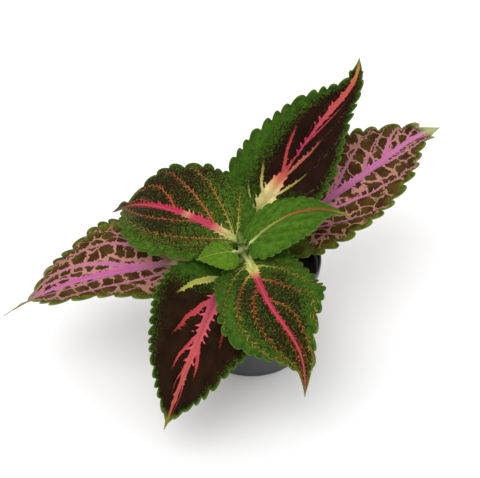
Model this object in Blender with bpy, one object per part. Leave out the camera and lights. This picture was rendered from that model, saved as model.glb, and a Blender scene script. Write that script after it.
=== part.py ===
# A potted coleus: a small bushy plant with eight large toothed leaves in a round plastic nursery pot.
#
# Metres, +Z up. The origin is the middle of the pot's flat foot, on the surface that it stands on.
# The plant is built as it grows: a square stem stands in a hole in the soil, and the leaves leave it in
# pairs, the lowest pair first. Each leaf is one closed skin of petiole and blade, drawn by a few sizes of
# its own. The sizes below are in millimetres and degrees.

import math

import bmesh
import bpy
from mathutils import Matrix, Vector, noise

MM = 0.001
CLEARANCE = 0.3

# Pot
POT_SEGMENTS = 40
RIM_RADIUS = 60.0
POT_HEIGHT = 98.0
FOOT_RADIUS = 50.0
WALL = 1.6
FLOOR = 2.8
LIP_HEIGHT = 8.5
LIP_OVERHANG = 2.6
STEP_HEIGHT = 8.0
STEP_IN = 0.6
CENTRE_PAD_RADIUS = 12.0
FOOT_RING_WIDTH = 8.0
UNDERSIDE_RECESS = 1.2
DRAIN_HOLES = 6
DRAIN_HOLE_RADIUS = 4.0
DRAIN_CIRCLE_RADIUS = 27.0

# Soil
SOIL_HEIGHT = 84.0
SOIL_RINGS = 8
SOIL_LUMPS = 1.6

# Stem, which leans a little towards the front
STEM_FOOT = Vector((-5.0, 3.0, 54.0))
STEM_AT_SOIL = Vector((-5.0, 3.0, SOIL_HEIGHT))
STEM_TIP = Vector((-9.0, -7.0, 117.0))
STEM_RADIUS = 3.6
STEM_TIP_RADIUS = 2.2
STEM_SIDES = 12
STEM_SQUARENESS = 0.09
NODE_SWELLING = 0.7
NODE_LENGTH = 3.0
PAIR_HEIGHTS = {"lowest": 93.0, "second": 100.5, "third": 107.5, "top": 112.5}

# Leaves
BLADE_THICKNESS = 0.9
MIDRIB_DEPTH = 0.9
PETIOLE_RADIUS = 1.7
PETIOLE_STATIONS = 6
TAIL_RADIUS = 0.75
ROWS_PER_TOOTH = 3
COLUMNS = (-1.0, -0.55, 0.0, 0.55, 1.0)
# The depth of a tooth and the wave of a margin, as shares of a tooth's pitch and of the blade's length.
TOOTH_DEPTH = 0.33
TOOTH_LEAN = 0.45
MARGIN_WAVE = 0.008
TEETH_END = 0.97
# How full an outline is towards the base, and how long it tapers to the tip.
BROAD = (0.6, 1.0)
DRAWN_OUT = (0.55, 1.4)
OVAL = (0.8, 1.0)

# base is where the blade starts and heading is the way it goes from there. reach and rise are how far out
# and up its tip lies, arch and bow how far the midrib stands above and to the right of a straight line to
# it, and late how much nearer the tip than the base it does. width is a share of the length. lobe is how
# far the base reaches back, and tail the thin tip's share. roll tilts the blade to its left at base and
# tip, fold lifts its two halves, and bend brings the margins down again.
LEAVES = {
    "leaf_right": dict(
        pair="lowest", base=(31, 29, 102), heading=36, reach=178, rise=38, arch=10, bow=0, late=0.3,
        width=0.5, outline=BROAD, lobe=15, tail=0.02, roll=(-10, 0), fold=10, bend=5, teeth=14,
    ),
    "leaf_left": dict(
        pair="lowest", base=(-65, -12, 101), heading=-171, reach=150, rise=-40, arch=12, bow=0, late=0.5,
        width=0.6, outline=BROAD, lobe=10, tail=0.14, roll=(15, -15), fold=16, bend=5, teeth=13,
    ),
    "leaf_back": dict(
        pair="second", base=(6, 47, 108), heading=52, reach=151, rise=87, arch=3, bow=10, late=0.8,
        width=0.57, outline=DRAWN_OUT, lobe=2, tail=0.02, roll=(-10, 5), fold=25, bend=10, teeth=18,
    ),
    "leaf_front_left": dict(
        pair="second", base=(-22, -39, 105), heading=-116, reach=113, rise=-70, arch=23, bow=-5, late=0.2,
        width=0.73, outline=BROAD, lobe=5, tail=0.02, roll=(15, -10), fold=10, bend=15, teeth=17,
    ),
    "leaf_front": dict(
        pair="third", base=(-2, -30, 115), heading=-66, reach=107, rise=-55, arch=28, bow=0, late=0.5,
        width=0.71, outline=OVAL, lobe=5, tail=0.05, roll=(-5, -15), fold=10, bend=25, teeth=16,
    ),
    "leaf_back_left": dict(
        pair="third", base=(-13, 2, 114), heading=149, reach=133, rise=-24, arch=25, bow=-8, late=0.2,
        width=0.76, outline=OVAL, lobe=10, tail=0.12, roll=(5, 15), fold=15, bend=15, teeth=16,
    ),
    "young_leaf_right": dict(
        pair="top", base=(-1, -7, 119), heading=16, reach=92, rise=6, arch=18, bow=-4, late=0.0,
        width=0.6, outline=DRAWN_OUT, lobe=3, tail=0.04, roll=(5, 5), fold=10, bend=30, teeth=14,
    ),
    "young_leaf_left": dict(
        pair="top", base=(-15, -20, 124), heading=-169, reach=31, rise=0, arch=4, bow=-2, late=0.0,
        width=0.85, outline=BROAD, lobe=1, tail=0.03, roll=(0, 0), fold=10, bend=20, teeth=9,
    ),
}

# The folded leaflets of the growing tip: the way each heads, its length and half its width.
BUD_LEAVES = ((112, 11.0, 3.4), (292, 11.0, 3.4), (20, 7.0, 2.2), (200, 7.0, 2.2))
BUD_PITCH = 58.0
BUD_THICKNESS = 0.7


def material(name, colour, roughness):
    made = bpy.data.materials.new(name)
    made.use_nodes = True
    shader = made.node_tree.nodes["Principled BSDF"]
    shader.inputs["Base Color"].default_value = (*colour, 1.0)
    shader.inputs["Roughness"].default_value = roughness
    shader.inputs["Metallic"].default_value = 0.0
    made.diffuse_color = (*colour, 1.0)
    return made


def object_from(bm, name, finish, sharp_angle=35.0):
    """One object of a bmesh that is drawn in millimetres."""
    bmesh.ops.scale(bm, vec=Vector((MM, MM, MM)), verts=bm.verts)
    mesh = bpy.data.meshes.new(name)
    bm.to_mesh(mesh)
    bm.free()
    mesh.materials.append(finish)
    mesh.shade_smooth()
    mesh.set_sharp_from_angle(angle=math.radians(sharp_angle))
    made = bpy.data.objects.new(name, mesh)
    bpy.context.scene.collection.objects.link(made)
    return made


def turned(bm, profile, segments):
    """A closed profile of (radius, height) points, turned round Z."""
    points = [bm.verts.new((radius, 0.0, height)) for radius, height in profile]
    edges = [bm.edges.new(pair) for pair in zip(points, points[1:])]
    bmesh.ops.spin(
        bm, geom=points + edges, cent=(0, 0, 0), axis=(0, 0, 1), angle=math.tau,
        steps=segments, use_merge=True,
    )
    bmesh.ops.remove_doubles(bm, verts=bm.verts, dist=1e-4)
    bmesh.ops.recalc_face_normals(bm, faces=bm.faces)


def skin(bm, rings, leaning):
    """A closed skin over rings of equally many points. A quad is split from its first corner where
    leaning is true for its place in the ring, and the other way where it is false."""
    rows = [[bm.verts.new(point) for point in ring] for ring in rings]
    count = len(rows[0])
    for row, after in zip(rows, rows[1:]):
        for j in range(count):
            k = (j + 1) % count
            corners = (row[j], row[k], after[k], after[j])
            if leaning(j):
                bm.faces.new((corners[0], corners[1], corners[2]))
                bm.faces.new((corners[0], corners[2], corners[3]))
            else:
                bm.faces.new((corners[0], corners[1], corners[3]))
                bm.faces.new((corners[1], corners[2], corners[3]))
    bm.faces.new(rows[0])
    bm.faces.new(rows[-1])
    bmesh.ops.recalc_face_normals(bm, faces=bm.faces)


def between(a, b, share):
    return a + (b - a) * share


def bezier(points, share):
    """The point and the unit direction at this share of a cubic curve."""
    a, b, c, d = points
    rest = 1.0 - share
    point = a * rest**3 + b * 3 * share * rest**2 + c * 3 * share**2 * rest + d * share**3
    along = (b - a) * rest**2 + (c - b) * 2 * share * rest + (d - c) * share**2
    return point, along.normalized()


# Pot

def inner_radius(height):
    """The pot's inside, which widens evenly from the floor to the lip."""
    foot = FOOT_RADIUS - WALL
    top = RIM_RADIUS - LIP_OVERHANG - WALL
    return between(foot, top, (height - FLOOR) / (POT_HEIGHT - LIP_HEIGHT - FLOOR))


def pot_profile():
    under_lip = POT_HEIGHT - LIP_HEIGHT
    foot_inside = FOOT_RADIUS - FOOT_RING_WIDTH
    step_outside = inner_radius(STEP_HEIGHT) + WALL
    return (
        (0.0, 0.0),
        (CENTRE_PAD_RADIUS, 0.0),
        (CENTRE_PAD_RADIUS + 1.0, UNDERSIDE_RECESS),
        (foot_inside - 1.0, UNDERSIDE_RECESS),
        (foot_inside, 0.0),
        (FOOT_RADIUS - 1.2, 0.0),
        (FOOT_RADIUS - 0.3, 0.5),
        (FOOT_RADIUS, 1.4),
        (step_outside, STEP_HEIGHT - 0.6),
        (step_outside + STEP_IN, STEP_HEIGHT),
        (inner_radius(under_lip) + WALL, under_lip - 0.6),
        (inner_radius(under_lip) + WALL + 0.5, under_lip),
        (RIM_RADIUS - 0.8, under_lip + 0.1),
        (RIM_RADIUS - 0.2, under_lip + 0.8),
        (RIM_RADIUS, POT_HEIGHT - 1.2),
        (RIM_RADIUS - 0.5, POT_HEIGHT - 0.3),
        (RIM_RADIUS - 1.3, POT_HEIGHT),
        (RIM_RADIUS - 2.1, POT_HEIGHT - 0.5),
        (RIM_RADIUS - LIP_OVERHANG, under_lip + 1.2),
        (inner_radius(under_lip), under_lip),
        (inner_radius(FLOOR + 1.5), FLOOR + 1.5),
        (inner_radius(FLOOR) - 1.0, FLOOR),
        (0.0, FLOOR),
    )


def make_pot(finish):
    bm = bmesh.new()
    turned(bm, pot_profile(), POT_SEGMENTS)
    pot = object_from(bm, "pot", finish)

    bm = bmesh.new()
    for hole in range(DRAIN_HOLES):
        angle = math.tau * (hole + 0.5) / DRAIN_HOLES
        middle = Matrix.Translation((
            DRAIN_CIRCLE_RADIUS * math.cos(angle),
            DRAIN_CIRCLE_RADIUS * math.sin(angle),
            FLOOR / 2,
        ))
        bmesh.ops.create_cone(
            bm, cap_ends=True, segments=12, radius1=DRAIN_HOLE_RADIUS,
            radius2=DRAIN_HOLE_RADIUS, depth=4 * FLOOR, matrix=middle,
        )
    cutter = object_from(bm, "drain_hole_cutter", finish)
    cutter.hide_render = True
    cutter.display_type = "WIRE"
    cut = pot.modifiers.new("Drain holes", "BOOLEAN")
    cut.operation = "DIFFERENCE"
    cut.object = cutter
    return pot


# Soil

def make_soil(finish):
    """A plug that fills the pot, with a plain hole for the stem and an uneven top."""
    hole = STEM_RADIUS + CLEARANCE
    hole_floor = STEM_FOOT.z - CLEARANCE
    floor = FLOOR + CLEARANCE
    outside = inner_radius(SOIL_HEIGHT) - CLEARANCE
    centre = Vector((STEM_AT_SOIL.x, STEM_AT_SOIL.y, 0.0))
    rings = [between(hole, outside, (ring / SOIL_RINGS) ** 1.1) for ring in range(SOIL_RINGS + 1)]
    profile = [(0.0, floor), (inner_radius(floor + 1.5) - 1.5, floor)]
    profile += [(inner_radius(floor + 1.5) - CLEARANCE, floor + 1.5)]
    profile += [(radius, SOIL_HEIGHT) for radius in reversed(rings)]
    profile += [(hole, hole_floor), (0.0, hole_floor)]
    bm = bmesh.new()
    turned(bm, profile, POT_SEGMENTS)
    for vert in bm.verts:
        radius = math.hypot(vert.co.x, vert.co.y)
        if vert.co.z > SOIL_HEIGHT - 1.0 and radius > hole + 0.1:
            place = Vector((vert.co.x, vert.co.y, 0.0))
            vert.co.z += SOIL_LUMPS * noise.noise(place * 0.09) + 0.5 * SOIL_LUMPS * noise.noise(place * 0.23)
        # The hole stands off the middle, where the stem does.
        if vert.co.z > hole_floor - 0.1:
            vert.co += centre * (1.0 - min(1.0, max(0.0, (radius - hole) / (outside - hole))))
    return object_from(bm, "soil", finish)


# Stem

def stem_axis(height):
    """The middle of the stem at this height."""
    if height <= STEM_AT_SOIL.z:
        return Vector((STEM_AT_SOIL.x, STEM_AT_SOIL.y, height))
    share = (height - STEM_AT_SOIL.z) / (STEM_TIP.z - STEM_AT_SOIL.z)
    return STEM_AT_SOIL.lerp(STEM_TIP, share)


def stem_radius(height):
    """The stem's mean radius, which tapers upwards and swells where a pair of leaves leaves it."""
    share = min(1.0, max(0.0, (height - STEM_AT_SOIL.z) / (STEM_TIP.z - STEM_AT_SOIL.z)))
    radius = between(STEM_RADIUS, STEM_TIP_RADIUS, share)
    if height > STEM_AT_SOIL.z:
        for pair in PAIR_HEIGHTS.values():
            radius += NODE_SWELLING * math.exp(-(((height - pair) / NODE_LENGTH) ** 2))
    return radius


def stem_ring(height):
    middle = stem_axis(height)
    # The buried part is round, and the stem above it is square with rounded edges.
    square = STEM_SQUARENESS if height > STEM_AT_SOIL.z + 1.0 else 0.0
    ring = []
    for side in range(STEM_SIDES):
        angle = math.tau * side / STEM_SIDES
        radius = stem_radius(height) * (1.0 - square + square * math.cos(4 * angle))
        ring.append(middle + Vector((radius * math.cos(angle), radius * math.sin(angle), 0.0)))
    return ring


def bud_leaf(heading, length, half):
    """A small folded leaf, rooted inside the stem's tip."""
    turn = Matrix.Rotation(math.radians(heading), 3, "Z")
    pitch = math.radians(BUD_PITCH)
    rings = []
    for share in (0.0, 0.12, 0.3, 0.5, 0.72, 0.9, 1.0):
        width = 0.6 + (half - 0.6) * math.sin(math.pi * min(1.0, share + 0.12)) ** 0.8
        lean = pitch - 0.7 * share
        out = 0.6 + length * share * math.cos(lean)
        up = length * share * math.sin(lean) - 1.5
        thick = Vector((-math.sin(lean), 0.0, math.cos(lean))) * BUD_THICKNESS
        top = [Vector((out, -width, up)), Vector((out, 0.0, up)), Vector((out, width, up))]
        for edge in (top[0], top[2]):
            edge += thick * (0.55 * width / BUD_THICKNESS)
        ring = top + [point - thick for point in reversed(top)]
        rings.append([STEM_TIP + turn @ point for point in ring])
    return rings


def join(body, pieces):
    """Unites the collection's objects with the body, then removes them."""
    bpy.context.scene.collection.children.link(pieces)
    union = body.modifiers.new("Join", "BOOLEAN")
    union.operation = "UNION"
    union.operand_type = "COLLECTION"
    union.collection = pieces
    bpy.context.view_layer.update()
    joined = bpy.data.meshes.new_from_object(body.evaluated_get(bpy.context.evaluated_depsgraph_get()))
    body.modifiers.remove(union)
    body.data = joined
    for piece in list(pieces.objects):
        bpy.data.objects.remove(piece)
    bpy.data.collections.remove(pieces)


def make_stem(finish):
    heights = [STEM_FOOT.z, SOIL_HEIGHT, SOIL_HEIGHT + 3.0]
    for pair in PAIR_HEIGHTS.values():
        heights += [pair - NODE_LENGTH * 0.8, pair, pair + NODE_LENGTH * 0.8]
    heights = sorted(heights) + [STEM_TIP.z]
    bm = bmesh.new()
    skin(bm, [stem_ring(height) for height in heights], lambda j: True)
    stem = object_from(bm, "stem", finish)

    leaflets = bpy.data.collections.new("bud leaves")
    for heading, length, half in BUD_LEAVES:
        bm = bmesh.new()
        skin(bm, bud_leaf(heading, length, half), lambda j: j < 3)
        leaflet = object_from(bm, "bud_leaf", finish)
        bpy.context.scene.collection.objects.unlink(leaflet)
        leaflets.objects.link(leaflet)
    join(stem, leaflets)
    return stem


# Leaves

def blade_spine(leaf):
    """The midrib's four pulling points in the leaf's own frame, which heads along +X with its right at -Y.
    The two inner ones stand off the straight line by 4/3 of the arch and the bow, as a cubic curve asks."""
    tip = Vector((leaf["reach"], 0.0, leaf["rise"]))
    off = Vector((0.0, -leaf["bow"], leaf["arch"])) * 4 / 3
    return [Vector((0.0, 0.0, 0.0)), tip / 3 + off * (1 - leaf["late"]), tip * 2 / 3 + off * (1 + leaf["late"]), tip]


def spine_length(spine):
    points = [bezier(spine, step / 24)[0] for step in range(25)]
    return sum((b - a).length for a, b in zip(points, points[1:]))


def blade_half_width(leaf, length, share):
    """Half the blade's width, without its teeth, at this share of its length."""
    fullness, taper = leaf["outline"]
    peak = fullness / (fullness + taper)
    most = peak**fullness * (1 - peak) ** taper
    reach = min(1.0, share / (1.0 - leaf["tail"]))
    width = 0.5 * leaf["width"] * length * reach**fullness * (1.0 - reach) ** taper / most
    return max(width, between(PETIOLE_RADIUS, TAIL_RADIUS, min(1.0, share * 1.6)))


def tooth_height(phase):
    """One rounded tooth: a blunt crest between two notches, a little nearer the tip."""
    phase %= 1.0
    return math.sin(math.pi * phase**1.1) ** 0.6


def leaf_axes(leaf, along, share):
    """The right and up directions across the blade at this share of its length."""
    side = Vector((0.0, -1.0, 0.0))
    side = (side - along * side.dot(along)).normalized()
    up = side.cross(along)
    roll = math.radians(between(*leaf["roll"], share))
    right = side * math.cos(roll) + up * math.sin(roll)
    return right, up * math.cos(roll) - side * math.sin(roll)


def blade_point(leaf, spine, length, row, across):
    """A point on the blade's upper face, and the direction out of that face. Rows are counted along the
    margin, from 0 at the base to 1 at the tip, and across runs from -1, left, to 1, right."""
    near = abs(across)
    margin = row**1.2
    widest = 0.5 * leaf["width"] * length
    size = blade_half_width(leaf, length, margin)
    fullness = min(1.0, size / widest)

    phase = row * leaf["teeth"] / TEETH_END
    tooth = tooth_height(phase) if phase < leaf["teeth"] else 0.0
    depth = TOOTH_DEPTH * length / leaf["teeth"] * min(1.0, 2.5 * fullness) * near**3
    half = size + depth * (tooth - 0.5)

    # The side veins slant forwards, so a row starts nearer the base on the midrib than on the margin.
    lobe = leaf["lobe"] * math.sin(math.pi * min(margin / 0.3, 1.0)) / length
    share = between(margin**1.45, margin - lobe, near**1.15) + tooth * depth * TOOTH_LEAN / length
    place = min(1.0, max(0.0, share))
    point, along = bezier(spine, place)
    point += along * min(0.0, share) * length
    right, up = leaf_axes(leaf, along, place)

    rise = math.radians(leaf["fold"])
    bend = math.radians(leaf["bend"]) * near * fullness
    reach = half * near
    ripple = math.sin(math.tau * (3.2 * margin + (0.3 if across < 0 else 0.0)))
    ripple *= MARGIN_WAVE * length * near**2 * fullness
    sign = math.copysign(1.0, across)
    point += right * sign * reach * math.cos(rise - bend / 2) + up * (reach * math.sin(rise - bend / 2) + ripple)
    if across == 0.0:
        return point, up
    slope = rise - bend
    return point, up * math.cos(slope) - right * sign * math.sin(slope)


def blade_ring(leaf, spine, length, row):
    """One closed ring round the blade: over its upper face to the right, and back under it."""
    over = []
    under = []
    for across in COLUMNS:
        point, out = blade_point(leaf, spine, length, row, across)
        depth = BLADE_THICKNESS
        if across == 0.0:
            depth += MIDRIB_DEPTH * (1.0 - row)
        over.append(point)
        under.append(point - out * depth)
    return over + under[::-1]


def petiole_ring(point, along, radius, side):
    """A ring round the petiole, with a flattened top, of as many points as a blade's ring."""
    side = (side - along * side.dot(along)).normalized()
    up = side.cross(along)
    over = []
    under = []
    for across in COLUMNS:
        height = math.sqrt(1.0 - 0.9 * across * across)
        over.append(point + side * across * radius + up * height * radius * 0.6)
        under.append(point + side * across * radius - up * height * radius)
    return over + under[::-1]


def petiole_path(leaf, spine):
    """From beside the stem to the blade's base, in the leaf's own frame."""
    height = PAIR_HEIGHTS[leaf["pair"]]
    away = Vector(leaf["base"]) - stem_axis(height)
    away.z = 0.0
    away.normalize()
    start = stem_axis(height) + away * (stem_radius(height) + 2 * CLEARANCE)
    turn = Matrix.Rotation(-math.radians(leaf["heading"]), 3, "Z")
    start = turn @ (start - Vector(leaf["base"]))
    away = turn @ away
    pull = start.length * 0.35
    return start, start + away * pull, -bezier(spine, 0.0)[1] * pull, Vector((0.0, 0.0, 0.0))


def make_leaf(name, leaf, finish):
    spine = blade_spine(leaf)
    length = spine_length(spine)
    path = petiole_path(leaf, spine)
    level = Vector((0.0, 0.0, 1.0))
    rings = []
    for station in range(PETIOLE_STATIONS):
        share = station / PETIOLE_STATIONS
        point, along = bezier(path, share)
        rings.append(petiole_ring(point, along, PETIOLE_RADIUS * between(1.15, 1.0, share), along.cross(level)))
    teeth_rows = leaf["teeth"] * ROWS_PER_TOOTH
    for step in range(teeth_rows + 1):
        rings.append(blade_ring(leaf, spine, length, TEETH_END * step / teeth_rows))
    rings.append(blade_ring(leaf, spine, length, 1.0))
    bm = bmesh.new()
    columns = len(COLUMNS)
    skin(bm, rings, lambda j: j < columns)
    made = object_from(bm, name, finish, sharp_angle=60.0)
    made.location = Vector(leaf["base"]) * MM
    made.rotation_euler.z = math.radians(leaf["heading"])
    return made


def main():
    for old in list(bpy.data.objects):
        bpy.data.objects.remove(old)

    grey_plastic = material("grey plastic", (0.055, 0.058, 0.058), 0.42)
    potting_soil = material("potting soil", (0.012, 0.009, 0.006), 0.95)
    stem_green = material("stem green", (0.20, 0.27, 0.10), 0.55)
    finishes = {
        "leaf_right": material("pink netted leaf", (0.36, 0.14, 0.16), 0.5),
        "leaf_left": material("pink netted leaf left", (0.36, 0.14, 0.16), 0.5),
        "leaf_back": material("maroon leaf", (0.045, 0.016, 0.009), 0.5),
        "leaf_front_left": material("chocolate leaf", (0.03, 0.012, 0.006), 0.5),
        "leaf_front": material("green veined leaf", (0.05, 0.09, 0.018), 0.5),
        "leaf_back_left": material("dark speckled leaf", (0.045, 0.05, 0.014), 0.5),
        "young_leaf_right": material("young green leaf", (0.09, 0.18, 0.02), 0.5),
        "young_leaf_left": material("young yellow green leaf", (0.14, 0.24, 0.03), 0.5),
    }

    plant = bpy.data.objects.new("plant", None)
    bpy.context.scene.collection.objects.link(plant)
    make_pot(grey_plastic)
    make_soil(potting_soil)
    make_stem(stem_green).parent = plant
    for name, leaf in LEAVES.items():
        make_leaf(name, leaf, finishes[name]).parent = plant


main()
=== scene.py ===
# The looks of the potted coleus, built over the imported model.
# Sizes are in millimetres and degrees, and become metres as a piece is finished.

import math
import random

import bmesh
import bpy
import numpy as np
from mathutils import Matrix, Vector, noise


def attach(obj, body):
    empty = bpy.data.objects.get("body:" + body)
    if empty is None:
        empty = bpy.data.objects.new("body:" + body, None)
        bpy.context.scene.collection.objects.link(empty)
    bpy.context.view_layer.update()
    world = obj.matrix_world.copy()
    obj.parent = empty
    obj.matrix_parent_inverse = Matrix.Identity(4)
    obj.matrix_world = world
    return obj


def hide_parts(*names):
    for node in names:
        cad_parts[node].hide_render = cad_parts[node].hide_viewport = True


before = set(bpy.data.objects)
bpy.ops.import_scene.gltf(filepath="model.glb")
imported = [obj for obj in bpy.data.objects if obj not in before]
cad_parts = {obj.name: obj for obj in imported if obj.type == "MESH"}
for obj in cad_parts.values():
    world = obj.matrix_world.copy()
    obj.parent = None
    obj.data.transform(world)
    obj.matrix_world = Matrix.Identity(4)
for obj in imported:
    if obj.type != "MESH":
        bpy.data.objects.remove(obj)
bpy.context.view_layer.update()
mm = 0.001
chance = random.Random(5)
print("packed model loaded")


def paint(red, green, blue):
    # a colour of 0 to 255 as the eye sees it, made linear for the shaders
    shades = (shade / 255 for shade in (red, green, blue))
    return tuple(shade / 12.92 if shade < 0.0405 else ((shade + 0.055) / 1.055) ** 2.4 for shade in shades)


# Camera, floor and light

camera = dict(place=(-0.0103, -0.7566, 0.7520), tilt=50.0, focal=87.0)
light = dict(world=1.0, power=0.9, softness=45.0, height=62.0, turn=-35.0, floor=0.97)


def makeCamera():
    data = bpy.data.cameras.new("camera")
    data.lens = camera["focal"]
    data.sensor_width = 36.0
    data.clip_start = 0.01
    made = bpy.data.objects.new("camera", data)
    made.location = camera["place"]
    made.rotation_euler = (math.radians(camera["tilt"]), 0, 0)
    bpy.context.scene.collection.objects.link(made)
    bpy.context.scene.camera = made


def makeLight():
    data = bpy.data.lights.new("soft light", "SUN")
    data.energy = light["power"]
    data.angle = math.radians(light["softness"])
    made = bpy.data.objects.new("soft light", data)
    made.rotation_euler = (math.radians(90 - light["height"]), 0, math.radians(light["turn"]))
    made.location = (0, 0, 1)
    bpy.context.scene.collection.objects.link(made)


def makeStage():
    world = bpy.data.worlds.new("studio")
    world.use_nodes = True
    world.node_tree.nodes["Background"].inputs["Color"].default_value = (1, 1, 1, 1)
    world.node_tree.nodes["Background"].inputs["Strength"].default_value = light["world"]
    bpy.context.scene.world = world
    bpy.context.scene.view_settings.view_transform = "Standard"
    makeLight()
    bm = bmesh.new()
    bmesh.ops.create_circle(bm, cap_ends=True, segments=96, radius=4.0)
    mesh = bpy.data.meshes.new("floor")
    bm.to_mesh(mesh)
    bm.free()
    floor = bpy.data.objects.new("floor", mesh)
    bpy.context.scene.collection.objects.link(floor)
    finish = bpy.data.materials.new("pale floor")
    finish.use_nodes = True
    shader = finish.node_tree.nodes["Principled BSDF"]
    shader.inputs["Base Color"].default_value = (*(light["floor"],) * 3, 1)
    shader.inputs["Roughness"].default_value = 0.9
    shader.inputs["Specular IOR Level"].default_value = 0.0
    mesh.materials.append(finish)


makeCamera()
makeStage()
print("camera, floor and lights made")


# Shader nodes, wired by short calls

class Board:
    def __init__(self, name, roughness):
        self.material = bpy.data.materials.new(name)
        self.material.use_nodes = True
        self.tree = self.material.node_tree
        self.shader = self.tree.nodes["Principled BSDF"]
        self.shader.inputs["Roughness"].default_value = roughness

    def put(self, socket, value):
        if isinstance(value, bpy.types.NodeSocket):
            self.tree.links.new(value, socket)
        elif isinstance(value, tuple) and len(value) == 3 and socket.type == "RGBA":
            socket.default_value = (*value, 1.0)
        else:
            socket.default_value = value

    def calc(self, operation, a, b=0.0, c=0.0):
        node = self.tree.nodes.new("ShaderNodeMath")
        node.operation = operation
        for socket, value in zip(node.inputs, (a, b, c)):
            self.put(socket, value)
        return node.outputs[0]

    def add(self, a, b):
        return self.calc("ADD", a, b)

    def less(self, a, b):
        return self.calc("SUBTRACT", a, b)

    def times(self, a, b):
        return self.calc("MULTIPLY", a, b)

    def scaled(self, value, factor, more):
        return self.calc("MULTIPLY_ADD", value, factor, more)

    def step(self, value, low, high, start=0.0, end=1.0):
        # eases from start to end as value goes from low to high
        node = self.tree.nodes.new("ShaderNodeMapRange")
        node.interpolation_type = "SMOOTHSTEP"
        names = ("Value", "From Min", "From Max", "To Min", "To Max")
        for name, given in zip(names, (value, low, high, start, end)):
            self.put(node.inputs[name], given)
        return node.outputs["Result"]

    def mix(self, share, a, b, blend="MIX"):
        node = self.tree.nodes.new("ShaderNodeMix")
        node.data_type = "RGBA"
        node.blend_type = blend
        self.put(node.inputs[0], share)
        self.put(node.inputs[6], a)
        self.put(node.inputs[7], b)
        return node.outputs[2]

    def ramp(self, share, stops):
        node = self.tree.nodes.new("ShaderNodeValToRGB")
        self.put(node.inputs[0], share)
        band = node.color_ramp
        while len(band.elements) < len(stops):
            band.elements.new(1.0)
        for element, (place, colour) in zip(band.elements, stops):
            element.position = place
            element.color = (*colour, 1.0)
        return node.outputs["Color"]

    def attribute(self, name):
        node = self.tree.nodes.new("ShaderNodeAttribute")
        node.attribute_name = name
        parts = self.tree.nodes.new("ShaderNodeSeparateXYZ")
        self.tree.links.new(node.outputs["Vector"], parts.inputs[0])
        return parts.outputs

    def vector(self, x, y=0.0, z=0.0):
        node = self.tree.nodes.new("ShaderNodeCombineXYZ")
        for socket, value in zip(node.inputs, (x, y, z)):
            self.put(socket, value)
        return node.outputs[0]

    def objectPlace(self, scale):
        place = self.tree.nodes.new("ShaderNodeTexCoord")
        node = self.tree.nodes.new("ShaderNodeMapping")
        node.inputs["Scale"].default_value = scale
        self.tree.links.new(place.outputs["Object"], node.inputs["Vector"])
        return node.outputs[0]

    def noise(self, vector, scale, detail=2.0, rough=0.5):
        node = self.tree.nodes.new("ShaderNodeTexNoise")
        for label, value in zip(("Vector", "Scale", "Detail", "Roughness"), (vector, scale, detail, rough)):
            self.put(node.inputs[label], value)
        return node.outputs[0]

    def cells(self, vector, scale, feature="F1", uneven=1.0, shape="2D", wanted="Distance"):
        node = self.tree.nodes.new("ShaderNodeTexVoronoi")
        node.voronoi_dimensions = shape
        node.feature = feature
        self.put(node.inputs["W" if shape == "1D" else "Vector"], vector)
        self.put(node.inputs["Scale"], scale)
        self.put(node.inputs["Randomness"], uneven)
        return node.outputs[wanted]

    def bump(self, height, distance, strength):
        node = self.tree.nodes.new("ShaderNodeBump")
        node.inputs["Distance"].default_value = distance
        node.inputs["Strength"].default_value = strength
        self.put(node.inputs["Height"], height)
        self.tree.links.new(node.outputs["Normal"], self.shader.inputs["Normal"])


def finished(bm, name, materials, smooth=True, sharp=None):
    # a piece of a bmesh drawn in millimetres, which rides on the plant's one body
    bmesh.ops.scale(bm, vec=(mm, mm, mm), verts=bm.verts)
    mesh = bpy.data.meshes.new(name)
    bm.to_mesh(mesh)
    bm.free()
    for material in materials:
        mesh.materials.append(material)
    if smooth:
        mesh.shade_smooth()
    if sharp:
        mesh.set_sharp_from_angle(angle=math.radians(sharp))
    made = bpy.data.objects.new(name, mesh)
    bpy.context.scene.collection.objects.link(made)
    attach(made, "root")
    return made


# Leaf forms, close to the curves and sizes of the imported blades, drawn finer

blade = dict(
    thickness=0.55, puff=0.75, groove=0.55, grooveWidth=1.3, rimDrop=0.5,
    swellFromVein=2.6, swellFromRib=3.2, swellFromEdge=5.0, wave=0.008, waves=3.2,
    toothDepth=0.5, toothLean=0.5, toothPuff=0.9, teethEnd=0.95, toothShift=0.16, toothUneven=0.22,
    grid=(210, 64), smallGrid=(100, 32), budGrid=(48, 20), rowCrowding=1.2, rowStart=1.45, rowCurve=1.15,
)
petiole = dict(radius=1.7, sides=16, stations=14, ribStations=25, ribEnd=0.94, furrow=0.5)
hair = dict(radius=0.06, length=1.1, stemLength=1.0, onLeaf=220, onSmallLeaf=60, onStem=260)
broad, drawnOut, oval = (0.6, 1.0), (0.55, 1.4), (0.8, 1.0)  # how an outline widens and narrows
pairHeights = dict(lowest=93.0, second=100.5, third=107.5, top=112.5)
stem = dict(
    foot=54.0, soil=(-5.0, 3.0, 84.0), tip=(-9.0, -7.0, 117.0), radius=3.6, tipRadius=2.2,
    swelling=0.7, rings=60, sides=28, squareness=0.09, endLength=1.5, endShare=0.75,
)


def bezier(points, share):
    a, b, c, d = (np.asarray(point, float) for point in points)
    share = np.asarray(share, float)[..., None]
    rest = 1 - share
    point = a * rest**3 + b * 3 * share * rest**2 + c * 3 * share**2 * rest + d * share**3
    along = (b - a) * rest**2 + (c - b) * 2 * share * rest + (d - c) * share**2
    return point, along / np.linalg.norm(along, axis=-1, keepdims=True)


def bladeSpine(leaf):
    tip = np.array((leaf["reach"], 0, leaf["rise"]), float)
    off = np.array((0, -leaf["bow"], leaf["arch"])) * 4 / 3
    return (np.zeros(3), tip / 3 + off * (1 - leaf["late"]), tip * 2 / 3 + off * (1 + leaf["late"]), tip)


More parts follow.
